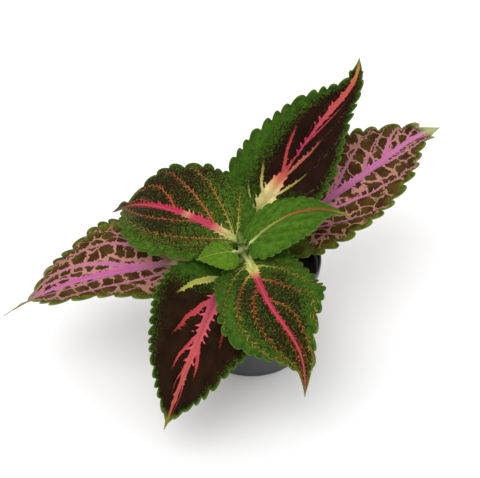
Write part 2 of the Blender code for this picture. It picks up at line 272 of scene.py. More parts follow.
def spineLength(spine):
    points = bezier(spine, np.linspace(0, 1, 25))[0]
    return float(np.linalg.norm(np.diff(points, axis=0), axis=1).sum())


def midline(leaf, share):
    # the midrib, which is the spine with a sideways hook before its tip
    spine = bladeSpine(leaf)
    point, along = bezier(spine, share)
    late = np.clip((np.asarray(share) - 0.4) / 0.6, 0, 1)
    hook = leaf.get("hook", 0)
    point[..., 1] -= hook * np.sin(np.pi * late**2)
    along[..., 1] -= hook * np.pi * 2 * late * np.cos(np.pi * late**2) / 0.6 / spineLength(spine)
    return point, along / np.linalg.norm(along, axis=-1, keepdims=True)


def halfWidth(leaf, length, share):
    fullness, taper = leaf["outline"]
    peak = fullness / (fullness + taper)
    most = peak**fullness * (1 - peak) ** taper
    reach = np.minimum(1, share / (1 - leaf["tail"]))
    width = 0.5 * leaf["width"] * length * reach**fullness * (1 - reach) ** taper / most
    return np.maximum(width, petiole["radius"] + (0.45 - petiole["radius"]) * np.minimum(1, share * 1.6))


def veinTurn(leaf, share, near, left):
    # which side vein a point lies on: a whole number is on one, and between them lies the tissue
    beyond = 1.7  # past 1 a vein runs on beside the midrib
    halvings = 22
    turn = np.zeros_like(share)
    strength = np.zeros_like(share)
    warmth = np.zeros_like(share)
    for key, here in (("leftVeins", left), ("rightVeins", ~left)):
        veins = leaf[key]
        ends = [0.0] + [vein[1] for vein in veins] + [beyond]
        starts = [0.0] + [vein[0] for vein in veins] + [1.0]
        turns = [-0.5, *range(len(veins)), len(veins) - 0.5]
        low = np.zeros_like(share)
        high = np.full_like(share, beyond)
        curve = leaf["veinCurve"][0 if key == "leftVeins" else 1]
        for _ in range(halvings):
            mid = (low + high) / 2
            start = np.interp(mid, ends, starts)
            past = start + (mid - start) * near ** np.maximum(1.0, curve - 3.5 * start) > share
            high = np.where(past, mid, high)
            low = np.where(past, low, mid)
        found = np.interp(mid, ends, turns)
        found += 0.009 * np.sin(share * 47 + found) + 0.009 * np.sin(near * 31 + found * 2.3)
        nearest = np.clip(np.round(found), 0, len(veins) - 1).astype(int)
        turn = np.where(here, found, turn)
        strength = np.where(here, np.array([vein[2] for vein in veins])[nearest], strength)
        warmth = np.where(here, np.array([vein[3] for vein in veins])[nearest], warmth)
        run = np.array([(*vein, 9.0)[4] for vein in veins])[nearest]  # how far out a short vein goes
        strength = np.where(here, strength * np.clip((run - near) / 0.3, 0.25, 1), strength)
    return turn, strength, warmth


def marginForm(leaf, length, margin, sign):
    # the margin's distance from the midrib, and how far its lobe reaches back
    size = halfWidth(leaf, length, margin)
    for bulgeSide, place, amount, spread in leaf.get("bulges", ()):
        size *= 1 + amount * np.exp(-(((margin - place) / spread) ** 2)) * (sign == bulgeSide)
    size = np.maximum(size, leaf["point"] * (1 - margin) * length * np.clip((margin - 0.8) / 0.1, 0, 1))
    heart = np.sin(np.pi * np.minimum(margin / 0.3, 1))
    lobe = np.where(sign < 0, *leaf["lobe"]) * np.where(margin < 0.15, heart**0.3, heart) / length
    return size, lobe


def marginTurn(leaf, length, margin, sign):
    # the way the margin runs, as its parts along and across the blade
    stretch = 0.03
    before, after = np.maximum(margin - stretch, 0), np.minimum(margin + stretch, 1)
    sizeBefore, lobeBefore = marginForm(leaf, length, before, sign)
    sizeAfter, lobeAfter = marginForm(leaf, length, after, sign)
    ahead = (after - lobeAfter - before + lobeBefore) * length
    aside = sizeAfter - sizeBefore
    span = np.maximum(np.hypot(ahead, aside), 1e-6)
    return ahead / span, aside / span


def toothCount(leaf, length, row, sign):
    # teeth are counted along the margin itself, so that they are evenly cut
    rows = np.linspace(0, 1, 401)
    margin = rows ** blade["rowCrowding"]
    count = np.zeros_like(row)
    for side, teeth in zip((-1.0, 1.0), leaf["teeth"]):
        size, lobe = marginForm(leaf, length, margin, np.full_like(rows, side))
        steps = np.hypot(np.diff((margin - lobe) * length), np.diff(size))
        run = np.concatenate(((0.0,), np.cumsum(steps)))
        run /= np.interp(leaf.get("teethEnd", blade["teethEnd"]), rows, run)
        counted = np.interp(row, rows, run) ** leaf.get("crowding", 1.0) * teeth
        count = np.where(sign == side, counted, count)
    return count


def bladeSurface(leaf, row, across):
    near = np.abs(across)
    left = across < 0
    sign = np.where(left, -1.0, 1.0)
    length = spineLength(bladeSpine(leaf))
    margin = row ** blade["rowCrowding"]
    size, lobe = marginForm(leaf, length, margin, sign)
    fullness = np.minimum(1, size / (0.5 * leaf["width"] * length))

    phase = toothCount(leaf, length, row, sign)
    phase += blade["toothShift"] * np.sin(1.7 * phase + sign + leaf["heading"])
    tooth = np.abs(np.sin(np.pi * (phase % 1) ** 1.15)) ** 0.5
    tooth = np.where(row < leaf.get("teethEnd", blade["teethEnd"]), tooth, 0)
    uneven = 1 + blade["toothUneven"] * np.sin(np.floor(phase) * 5.1 + sign * 2 + leaf["heading"])
    pitch = length / np.where(left, *leaf["teeth"])
    depth = leaf.get("toothDepth", blade["toothDepth"]) * pitch * uneven
    depth *= np.minimum(1, 2.5 * fullness) * near**3
    ahead, aside = marginTurn(leaf, length, margin, sign)
    cut = depth * (tooth - 0.5)
    lean = depth * tooth * blade["toothLean"]
    half = size + cut * ahead + lean * aside  # teeth are cut square to the margin
    inside = margin ** blade["rowStart"]  # where a row of the grid starts on the midrib
    share = inside + (margin - lobe - inside) * near ** blade["rowCurve"]
    share += (lean * ahead - cut * aside) / length
    place = np.clip(share, 0, 1)
    point, along = midline(leaf, place)
    point = point + along * np.minimum(0, share)[:, None] * length
    side = np.array((0.0, -1.0, 0.0)) - along * -along[:, 1:2]
    side /= np.linalg.norm(side, axis=1, keepdims=True)
    up = np.cross(side, along)
    roll = np.radians(leaf["roll"][0] + (leaf["roll"][1] - leaf["roll"][0]) * place)[:, None]
    right = side * np.cos(roll) + up * np.sin(roll)
    up = up * np.cos(roll) - side * np.sin(roll)

    rise = math.radians(leaf["fold"])
    bend = np.radians(leaf["bend"]) * near * fullness
    reach = half * near
    ripple = np.sin(2 * np.pi * (blade["waves"] * margin + np.where(left, 0.3, 0.0)))
    ripple *= blade["wave"] * length * near**2 * fullness
    lift = reach * np.sin(rise - bend / 2) + ripple
    point = point + right * (sign * reach * np.cos(rise - bend / 2))[:, None] + up * lift[:, None]
    slope = rise - bend
    out = up * np.cos(slope)[:, None] - right * (sign * np.sin(slope))[:, None]
    turn, strength, warmth = veinTurn(leaf, place, near, left)
    return dict(
        point=point, out=out, alongBlade=share * length, acrossBlade=sign * reach, edge=size * (1 - near),
        turn=turn, strength=strength, warmth=warmth,
        near=near, share=place, fullness=fullness, tooth=tooth,
    )


def veinDistance(surface, shape):
    # how far the nearest side vein is, in millimetres, measured on the surface itself
    point = surface["point"].reshape(*shape, 3)
    turn = surface["turn"].reshape(shape)
    rowStep, columnStep = np.gradient(point, axis=(0, 1))
    rowTurn, columnTurn = np.gradient(turn)
    a = (rowStep**2).sum(-1)
    b = (rowStep * columnStep).sum(-1)
    c = (columnStep**2).sum(-1)
    steepness = c * rowTurn**2 - 2 * b * rowTurn * columnTurn + a * columnTurn**2
    steepness /= np.maximum(a * c - b * b, 1e-6)
    return (np.abs(turn - np.round(turn)) / np.sqrt(np.maximum(steepness, 1e-5))).reshape(-1)


def makeBlade(name, leaf, materials, grid):
    rows, columns = grid
    bm = bmesh.new()
    bmesh.ops.create_grid(bm, x_segments=columns, y_segments=rows, size=1)
    mesh = bpy.data.meshes.new(name)
    bm.to_mesh(mesh)
    bm.free()
    flat = np.empty(len(mesh.vertices) * 3)
    mesh.vertices.foreach_get("co", flat)
    flat = flat.reshape(-1, 3)
    across = flat[:, 0]
    row = (flat[:, 1] + 1) / 2
    order = np.lexsort((np.round(across, 6), np.round(row, 6)))  # row by row, for the distances
    surface = bladeSurface(leaf, row[order], across[order])
    sideVein = veinDistance(surface, (rows + 1, columns + 1))
    rib = np.abs(surface["acrossBlade"])

    # the tissue swells between the veins, and the midrib lies in a groove
    swell = 1 - np.exp(-((sideVein / blade["swellFromVein"]) ** 2))
    swell *= 1 - np.exp(-((rib / blade["swellFromRib"]) ** 2))
    swell *= surface["fullness"]
    swell *= np.minimum(1, surface["edge"] / blade["swellFromEdge"])
    lift = blade["puff"] * swell
    lift -= blade["groove"] * np.exp(-((rib / blade["grooveWidth"]) ** 2)) * (1 - surface["share"])
    lift -= blade["rimDrop"] * surface["near"] ** 10 * surface["fullness"]  # the rim turns down
    lift += blade["toothPuff"] * (surface["tooth"] - 0.5) * surface["near"] ** 6  # teeth are small cushions
    point = surface["point"] + surface["out"] * lift[:, None]

    turn = Matrix.Rotation(math.radians(leaf["heading"]), 3, "Z")
    point = (point @ np.array(turn).T + np.array(leaf["base"])) * mm
    placed = np.empty_like(point)
    placed[order] = point
    mesh.vertices.foreach_set("co", placed.reshape(-1))
    parts = dict(
        place=(surface["alongBlade"], surface["acrossBlade"], surface["turn"]),
        lines=(rib, sideVein, surface["edge"]),
        course=(surface["share"], surface["near"], swell),
        veins=(surface["strength"], surface["warmth"], surface["fullness"]),
    )
    for label, three in parts.items():
        held = np.empty((len(order), 3), np.float32)
        held[order] = np.stack(three, axis=1)
        mesh.attributes.new(label, "FLOAT_VECTOR", "POINT").data.foreach_set("vector", held.reshape(-1))
    mesh.update()
    for material in materials:
        mesh.materials.append(material)
    mesh.shade_smooth()
    made = bpy.data.objects.new(name, mesh)
    bpy.context.scene.collection.objects.link(made)
    wall = made.modifiers.new("leaf thickness", "SOLIDIFY")
    wall.thickness = blade["thickness"] * mm
    wall.offset = -1
    wall.material_offset = 1
    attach(made, "root")
    return made


def stemAxis(height):
    low, high = Vector(stem["soil"]), Vector(stem["tip"])
    if height <= low.z:
        return Vector((low.x, low.y, height))
    return low.lerp(high, (height - low.z) / (high.z - low.z))


def stemRadius(height):
    share = min(1, max(0, (height - stem["soil"][2]) / (stem["tip"][2] - stem["soil"][2])))
    radius = stem["radius"] + (stem["tipRadius"] - stem["radius"]) * share
    if height > stem["soil"][2]:
        swellings = (math.exp(-(((height - pair) / 3) ** 2)) for pair in pairHeights.values())
        radius += stem["swelling"] * sum(swellings)
    return radius


def tube(path, radii, sides, furrow):
    # a closed tube on a path of points, with a furrow along its top
    bm = bmesh.new()
    bmesh.ops.create_grid(bm, x_segments=sides, y_segments=len(path) - 1, size=1)
    path = [Vector(point) for point in path]
    for vert in bm.verts:
        angle = (vert.co.x + 1) * math.pi
        station = round((vert.co.y + 1) / 2 * (len(path) - 1))
        along = (path[min(station + 1, len(path) - 1)] - path[max(station - 1, 0)]).normalized()
        side = along.cross(Vector((0, 0, 1))).normalized()
        up = side.cross(along)
        top = max(0.0, math.sin(angle))
        radius = radii[station]
        height = math.sin(angle) * (1 - 0.4 * furrow * (top > 0)) - furrow * 0.35 * top**6
        vert.co = path[station] + side * math.cos(angle) * radius + up * height * radius
    bmesh.ops.remove_doubles(bm, verts=bm.verts, dist=0.01)
    bmesh.ops.holes_fill(bm, edges=bm.edges, sides=sides + 1)
    bmesh.ops.recalc_face_normals(bm, faces=bm.faces)
    return bm


def addHairs(bm, count, length):
    # short three-sided hairs, rooted in the surface that the bmesh holds so far
    faces = [face for face in bm.faces if len(face.verts) == 4]
    areas = [face.calc_area() for face in faces]
    for face in chance.choices(faces, weights=areas, k=count):
        a, b, c, d = (vert.co for vert in face.verts)
        s, t = chance.random(), chance.random()
        root = a.lerp(b, s).lerp(d.lerp(c, s), t)
        lean = Vector([chance.uniform(-0.4, 0.4) for _ in range(3)])
        out = (face.normal + lean).normalized()
        tall = length * chance.uniform(0.5, 1.2)
        place = Matrix.Translation(root + out * (tall / 2 - 0.1))
        place @= out.to_track_quat("Z", "Y").to_matrix().to_4x4()
        bmesh.ops.create_cone(
            bm, cap_ends=True, segments=3, radius1=hair["radius"], radius2=0.0, depth=tall, matrix=place,
        )


def stalkPath(leaf):
    # the petiole from beside the stem to the blade, and on under the blade as its raised midrib
    height = pairHeights[leaf["pair"]]
    base = Vector(leaf["base"])
    away = base - stemAxis(height)
    away.z = 0
    away.normalize()
    start = stemAxis(height) + away * (stemRadius(height) - 0.6)
    turn = Matrix.Rotation(math.radians(leaf["heading"]), 3, "Z")
    forward = turn @ Vector(midline(leaf, 0.0)[1])
    pull = (base - start).length * 0.35
    lift = Vector((0, 0, leaf.get("stalkArch", 0)))
    points = (start, start + away * pull + lift, base - forward * pull + lift, base)
    path = []
    radii = []
    for station in range(petiole["stations"]):
        share = station / petiole["stations"]
        path.append(Vector(bezier(points, share)[0]))
        radius = petiole["radius"] * (1.35 - 0.35 * min(1, share * 4))
        radii.append(radius * (1 + (leaf["stalk"] - 1) * share))
    for station in range(petiole["ribStations"]):
        share = petiole["ribEnd"] * station / (petiole["ribStations"] - 1)
        point, along = midline(leaf, share)
        radius = petiole["radius"] * (1 - share) ** 0.8 * (0.75 if station else leaf["stalk"]) + 0.18
        down = Vector((0, 0, 1)) - Vector(along) * along[2]
        sunk = (radius + 0.5) * min(1.0, share * 12)
        path.append(turn @ (Vector(point) - down.normalized() * sunk) + base)
        radii.append(radius)
    return path, radii


# Leaf finishes

def leafMaterial(name, look, under=False):
    board = Board(name, roughness=0.62)
    along, across, turn = board.attribute("place")
    rib, side, edge = board.attribute("lines")
    share, near, swell = board.attribute("course")
    strength, warmth, _ = board.attribute("veins")
    flat = board.vector(along, across)
    fine = board.noise(flat, 0.9, 3.0, 0.6)
    ragged = board.less(fine, 0.5)
    cloud = board.noise(flat, 0.06, 2.0)
    length = board.tree.nodes.new("ShaderNodeVectorMath")
    length.operation = "LENGTH"
    board.put(length.inputs[0], flat)
    fromBase = length.outputs["Value"]
    leftSide = board.step(across, 0.3, -0.3)

    # where the blade is green, and where it has its dark colour, with a stippled border
    leftFrom, rightFrom = look["greenFrom"]
    reach = board.scaled(share, look["greenTaper"], board.scaled(leftSide, leftFrom - rightFrom, rightFrom))
    zone = board.scaled(board.less(near, reach), 2.2, 0.5)
    rimWidth = board.scaled(share, look["greenEdge"] * -1.2, look["greenEdge"] * 2.2)
    rimZone = board.less(1.0, board.calc("DIVIDE", edge, rimWidth))
    baseZone = board.less(1.0, board.calc("DIVIDE", share, look["greenBase"] * 2))
    zone = board.calc("MAXIMUM", zone, rimZone)
    zone = board.calc("MAXIMUM", zone, board.calc("MAXIMUM", baseZone, look["greenInside"]))
    mottle = board.noise(flat, look["speckle"][1], 3.0, 0.7)
    fleck = board.cells(flat, look["speckle"][0], wanted="Color")
    blotch = board.times(board.less(mottle, 0.5), look["blotch"][1])
    blotch = board.scaled(board.less(fleck, 0.5), look["blotch"][0], blotch)
    zone = board.step(board.add(zone, blotch), 0.5 - look["soft"], 0.5 + look["soft"])
    greens = board.mix(board.step(board.noise(flat, 0.22, 2.0), 0.3, 0.7), look["green"], look["greenToo"])
    darks = board.mix(board.step(cloud, 0.35, 0.65), look["dark"], look["darkToo"])
    colour = board.mix(zone, darks, greens)
    lightSpecks = board.step(board.noise(flat, 1.7, 2.0, 0.6), 0.6, 0.75, 0.0, look["specks"])
    colour = board.mix(lightSpecks, colour, look["speckColour"])

    # the net of small veins, laid across from one side vein to the next
    swirl = board.noise(flat, 0.16, 2.0, 0.6)
    leftRows, rightRows = look["netRows"]
    netRows = board.scaled(leftSide, leftRows - rightRows, rightRows)
    netRows = board.times(netRows, board.scaled(share, -look["netTaper"], 1.0))
    netPlace = board.vector(
        board.scaled(board.less(swirl, 0.5), 0.9, board.calc("DIVIDE", fromBase, look["netCell"])),
        board.scaled(board.less(swirl, 0.5), -0.7, board.times(turn, netRows)),
    )
    net = board.cells(netPlace, 1.0, feature="DISTANCE_TO_EDGE", uneven=look["netUneven"])
    middle = board.cells(netPlace, 1.0, uneven=look["netUneven"])
    corner = board.calc("MAXIMUM", board.less(middle, 0.3), 0.0)
    net = board.less(net, board.times(corner, look["netRound"]))
    net = board.scaled(net, look["netCell"], board.times(ragged, look["netRagged"]))
    netWide = board.step(near, 0.0, 1.0, *look["netWidth"])
    netWide = board.add(netWide, board.step(fromBase, look["netMerge"][0], 0.0, 0.0, look["netMerge"][1]))
    netLine = board.step(board.less(netWide, net), -look["netSoft"], look["netSoft"])
    netLine = board.times(netLine, board.step(side, look["netReach"], look["netReach"] * 0.25))
    netLine = board.times(netLine, board.step(edge, *look["netEnd"]))
    netPart = board.step(board.noise(flat, 0.3, 2.0), 0.38, 0.56, look["netFaint"], 1.0)
    netLine = board.times(netLine, board.times(netPart, look["netStrength"]))
    netLine = board.times(netLine, board.scaled(zone, look["netOnGreen"] - 1, 1.0))
    glow = board.step(board.scaled(ragged, 7.0, fromBase), look["baseGlow"][1], look["baseGlow"][0])
    netColour = board.mix(board.step(near, 0.35, 0.9), look["net"], look["netOut"])
    netColour = board.mix(glow, netColour, look["baseColour"])
    shadePlace = board.less(board.add(netWide, look["islandRim"]), net)
    colour = board.mix(board.step(shadePlace, -0.9, 0.6, 0.0, look["islandShade"]), colour, look["dark"])

    # side veins, with spikes along both banks and a core of a second colour
    spikes, spacing = look["sideSpikes"]
    uneven = board.step(board.noise(flat, 0.28, 1.0), 0.35, 0.65, 0.25, 1.25)
    bank = board.calc("GREATER_THAN", board.calc("FRACT", board.add(turn, 0.5)), 0.5)
    jag = board.scaled(side, -0.9, board.scaled(turn, 3.3, fromBase))
    jag = board.scaled(bank, 47.3, board.scaled(ragged, 1.6, jag))
    jag = board.cells(jag, 1 / spacing, shape="1D")
    jag = board.times(board.step(jag, look["spikeBreadth"], 0.0, 0.0, spikes), uneven)
    wide = board.times(board.step(near, 0.0, 1.0, *look["sideWidth"]), strength)
    sideEdge = board.add(board.scaled(jag, strength, wide), board.times(ragged, look["sideRagged"]))
    fade = board.add(near, board.times(board.less(cloud, 0.5), 0.5))
    fade = board.less(fade, board.times(strength, 0.22))
    fade = board.step(fade, look["sideFade"][1] - 0.22, look["sideFade"][0] - 0.22)
    shown = board.times(fade, board.step(strength, 0.05, 0.2))
    sideLine = board.times(board.step(board.less(sideEdge, side), -0.28, 0.28), shown)
    cool, warm = board.ramp(near, look["coolColours"]), board.ramp(near, look["sideColours"])
    sideColour = board.mix(warmth, cool, warm)
    fringePlace = board.add(side, board.times(ragged, 0.8))
    fringe = board.step(fringePlace, look["coreWidth"], look["coreWidth"] + 0.4, 0.0, look["fringe"])
    sideColour = board.mix(fringe, sideColour, look["fringeColour"])
    sideColour = board.mix(glow, sideColour, look["baseColour"])

    # the midrib, with spikes along it
    spikes, spacing = look["ribSpikes"]
    spike = board.scaled(rib, -0.7, board.scaled(leftSide, 31.7, along))
    spike = board.cells(spike, 1 / spacing, shape="1D")
    spike = board.times(board.step(spike, 0.26, 0.0, 0.0, spikes), uneven)
    spike = board.times(spike, board.step(share, 1.0, 0.5, 0.2, 1.0))
    widths = [(place, (width / 10,) * 3) for place, width in look["ribWidth"]]  # a ramp holds 0 to 1
    ribWide = board.times(board.ramp(share, widths), 10.0)
    ribEdge = board.add(board.add(ribWide, spike), board.times(ragged, look["ribRagged"]))
    ribInside = board.less(ribEdge, rib)
    ribLine = board.step(ribInside, -0.3, 0.3)
    ribColour = board.ramp(board.scaled(ragged, 0.06, share), look["ribColours"])
    ribColour = board.mix(board.step(ribInside, 0.9, 0.1, 0.0, 0.35), ribColour, look["ribRim"])
    centre = board.step(rib, 0.6, 0.15, 0.0, look["centreStrength"])
    ribColour = board.mix(centre, ribColour, look["centre"])

    colour = board.mix(netLine, colour, netColour)
    colour = board.mix(sideLine, colour, sideColour)
    colour = board.mix(ribLine, colour, ribColour)
    tipShare = board.step(board.scaled(ragged, 0.05, share), *look["tip"], 0.0, 0.85)
    colour = board.mix(tipShare, colour, look["tipColour"])
    # a painted highlight: the margin is lightened in a thin line, as if light caught the edge
    toRim = board.times(rib, board.less(1.0, near))
    toRim = board.calc("DIVIDE", toRim, board.calc("MAXIMUM", near, 0.05))
    colour = board.mix(board.step(toRim, 1.3, 0.4, 0.0, look["rimHighlight"]), colour, look["rim"])

    # painted shade: the tissue by the veins is darkened and the swollen tissue between them lightened, as
    # light would shade the quilted surface, and the smallest veins show as a fine grain
    smallNet = board.cells(flat, 0.62, feature="DISTANCE_TO_EDGE")
    smallLine = board.step(smallNet, 0.0, 0.15)
    shadeAndGrain = board.scaled(swell, look["relief"], 1.0 - look["relief"] * 0.7)
    shadeAndGrain = board.times(shadeAndGrain, board.scaled(smallLine, 0.2, 0.86))
    shadeAndGrain = board.times(shadeAndGrain, board.scaled(fine, 0.5, 0.75))
    grey = board.tree.nodes.new("ShaderNodeCombineColor")
    for socket in grey.inputs[:3]:
        board.put(socket, shadeAndGrain)
    colour = board.mix(1.0, colour, grey.outputs[0], "MULTIPLY")
    if under:
        colour = board.mix(0.6, colour, look["under"])
    board.put(board.shader.inputs["Base Color"], colour)
    board.shader.inputs["Specular IOR Level"].default_value = 0.04
    velvet = board.noise(flat, 2.6, 2.0, 0.7)
    board.bump(board.add(board.times(smallLine, 0.7), board.times(velvet, 0.6)), 0.00045, 0.8)
    return board.material


def stalkMaterial(name, pale, deep):
    board = Board(name, roughness=0.55)
    streak = board.noise(board.objectPlace((500, 500, 160)), 1.0, 3.0)
    cloud = board.noise(board.objectPlace((60, 60, 60)), 1.0, 2.0)
    colour = board.mix(board.step(streak, 0.3, 0.7), pale, deep)
    colour = board.mix(board.step(cloud, 0.5, 0.8, 0.0, 0.3), colour, paint(160, 140, 96))
    board.put(board.shader.inputs["Base Color"], colour)
    board.shader.inputs["Specular IOR Level"].default_value = 0.2
    board.bump(streak, 0.0002, 0.5)
    return board.material


# What the leaves share, unless a leaf says otherwise. Widths and distances are in millimetres, and shares
# count from the base to the tip or from the midrib to the edge. Spikes are (length, spacing).
plainLook = dict(
    # the blade's dark and green
    dark=paint(34, 20, 9), darkToo=paint(48, 30, 15), green=paint(44, 76, 16), greenToo=paint(64, 98, 24),
    # where it is green: shares from the midrib out, at the left and right half, and from the base up
    greenFrom=(0.95, 0.95), greenTaper=0.0, greenEdge=4.0, greenBase=0.1, greenInside=-1.0,
    # the stipple between the two
    speckle=(0.9, 0.55), blotch=(0.35, 1.2), soft=0.1, specks=0.25, speckColour=paint(96, 128, 40),
    # the net of small veins, and the islands between them
    netCell=6.0, netRows=(2.0, 2.0), netTaper=0.0, netUneven=0.85, netWidth=(0.35, 0.3), netSoft=0.35,
    netRagged=0.7, netRound=0.0, netReach=5.0, netEnd=(1.5, 4.0), netMerge=(1.0, 0.0), netStrength=0.8,
    netFaint=0.1, netOnGreen=1.0, net=paint(170, 84, 50), netOut=paint(176, 160, 70), islandRim=0.0,
    islandShade=0.0,
    # side veins, whose widths and colours run from the midrib to the edge
    sideWidth=(0.8, 0.2), sideFade=(0.7, 1.0), sideSpikes=(0.9, 3.0), spikeBreadth=0.24, sideRagged=0.9,
    coreWidth=0.3, fringe=0.0, fringeColour=paint(206, 170, 80),
    sideColours=((0.0, paint(206, 62, 74)), (1.0, paint(160, 84, 50))),
    coolColours=((0.0, paint(196, 176, 84)), (1.0, paint(150, 150, 66))),
    # the pale base and the midrib, whose widths and colours run from the base to the tip
    baseGlow=(14, 30), baseColour=paint(206, 204, 116), ribSpikes=(2.2, 7.0), ribRagged=1.2,
    ribWidth=((0.0, 2.2), (1.0, 0.5)), ribColours=((0.0, paint(214, 84, 94)), (1.0, paint(200, 96, 84))),
    ribRim=paint(190, 50, 70), centre=paint(222, 130, 140), centreStrength=0.5,
    # tip, the margin's rim, which is a painted highlight, the painted shade between the swellings, and back
    tip=(0.94, 1.0), tipColour=paint(110, 112, 52), rim=paint(112, 140, 60), rimHighlight=0.55, relief=0.34,
    under=paint(126, 118, 84),
)

# A leaf's base is where its blade starts, reach and rise give its tip from there, and arch and bow say how
# far the midrib bends up and aside. lobe, teeth and veinCurve hold the left half's value and then the right
# half's, and roll runs from base to tip. A bulge is (side, place, amount, spread), with -1 for the left side,
# and a vein is (start on the midrib, end on the margin, strength, warmth, how far out a short one runs).
leafRight = dict(
    pair="lowest", base=(31, 29, 102), heading=36,
    reach=178, rise=38, arch=10, bow=4, late=0.3, hook=-4,
    width=0.5, outline=broad, lobe=(15, 27), tail=0.02, roll=(-10, 0), fold=10, bend=5,
    teeth=(12, 15), teethEnd=0.92, toothDepth=0.5, point=0.62, stalk=1.0,
    bulges=((1, 0.82, -0.3, 0.14), (1, 0.58, -0.1, 0.14), (1, 0.36, 0.05, 0.14), (-1, 0.6, 0.1, 0.3)),
    leftVeins=(
        (0, 0.4, 0.8, 1), (0.1, 0.58, 0.8, 1), (0.26, 0.74, 0.9, 1), (0.46, 0.79, 0.5, 1),
        (0.6, 0.85, 1.2, 1), (0.76, 0.93, 0.6, 1),
    ),
    rightVeins=(
        (0, 0.22, 0.5, 1), (0, 0.45, 0.8, 1), (0.12, 0.7, 1.1, 1), (0.52, 0.94, 0.9, 1),
        (0.74, 1.1, 0.5, 1),
    ),
    veinCurve=(1.4, 1.5),
    look=dict(
        dark=paint(62, 38, 16), darkToo=paint(84, 64, 24), green=paint(74, 90, 24),
        greenToo=paint(100, 114, 38),
        greenEdge=4.6, greenBase=0.04,
        blotch=(0.3, 0.9), specks=0.6, speckColour=paint(128, 124, 40),
        netCell=13.5, netRows=(1.1, 1.4), netTaper=0.3, netUneven=0.62, netWidth=(0.55, -0.15), netSoft=0.6,
        netRagged=0.9, netRound=0.25, netReach=90.0, netEnd=(2.2, 4.6), netMerge=(60.0, 0.25),
        netStrength=0.94, netFaint=1.0, netOnGreen=0.25, net=paint(196, 136, 128),
        netOut=paint(172, 130, 102), islandRim=1.0, islandShade=0.5,
        sideWidth=(1.6, 0.5), sideFade=(1.1, 1.3), sideSpikes=(1.5, 5.5), sideRagged=1.4,
        sideColours=((0.0, paint(212, 122, 172)), (0.5, paint(204, 130, 150)), (1.0, paint(176, 124, 112))),
        baseGlow=(6, 30), baseColour=paint(182, 150, 112), ribSpikes=(2.4, 9.0), ribRagged=1.6,
        ribWidth=((0.0, 2.2), (0.3, 3.6), (0.6, 3.0), (0.9, 2.2), (1.0, 0.9)),
        ribColours=(
            (0.0, paint(190, 130, 130)), (0.3, paint(206, 118, 168)), (0.8, paint(210, 124, 176)),
            (1.0, paint(206, 150, 150)),
        ),
        ribRim=paint(196, 108, 150), centre=paint(232, 170, 206), centreStrength=0.5,
        # the margin's painted highlight, and the strength of the painted shade between the swellings
        tip=(0.86, 0.94), tipColour=paint(187, 200, 130), rim=paint(140, 156, 76), relief=0.22,
        under=paint(170, 140, 120),
    ),
)
leafLeft = dict(
    pair="lowest", base=(-65, -12, 101), heading=-171,
    reach=150, rise=-40, arch=12, bow=0, late=0.5,
    width=0.6, outline=broad, lobe=(10, 10), tail=0.14, roll=(15, -15), fold=16, bend=5,
    teeth=(11, 16), toothDepth=0.44, point=0.04, stalk=2.4, stalkArch=9,
    bulges=((1, 0.38, 0.12, 0.22), (1, 0.78, 0.22, 0.12), (-1, 0.42, -0.28, 0.2), (-1, 0.68, 0.3, 0.1)),
    leftVeins=((0, 0.45, 0.7, 1), (0, 1, 1, 1), (0.3, 1.15, 0.5, 1)),
    rightVeins=((0, 0.5, 0.6, 1), (0, 0.79, 1.1, 1), (0.22, 0.93, 1.3, 1), (0.5, 1, 0.6, 1)),
    veinCurve=(1.8, 1.5),
    look=dict(
        leafRight["look"],
        greenFrom=(0.97, 0.66), greenTaper=0.5,
        blotch=(0.3, 1.4),
        netCell=12.0, netRows=(1.1, 2.0), netTaper=0.5, netRagged=1.2, netRound=0.4, netEnd=(1.6, 4.5),
        netMerge=(45.0, 0.5),
        sideWidth=(1.7, 0.5),
        ribWidth=((0.0, 2.6), (0.15, 4.2), (0.4, 3.6), (0.75, 2.0), (0.85, 0.8), (1.0, 0.3)),
        ribColours=(
            (0.0, paint(196, 160, 130)), (0.12, paint(206, 130, 160)), (0.3, paint(209, 112, 168)),
            (1.0, paint(205, 112, 165)),
        ),
        tip=(0.83, 0.87), tipColour=paint(128, 112, 92),
    ),
)
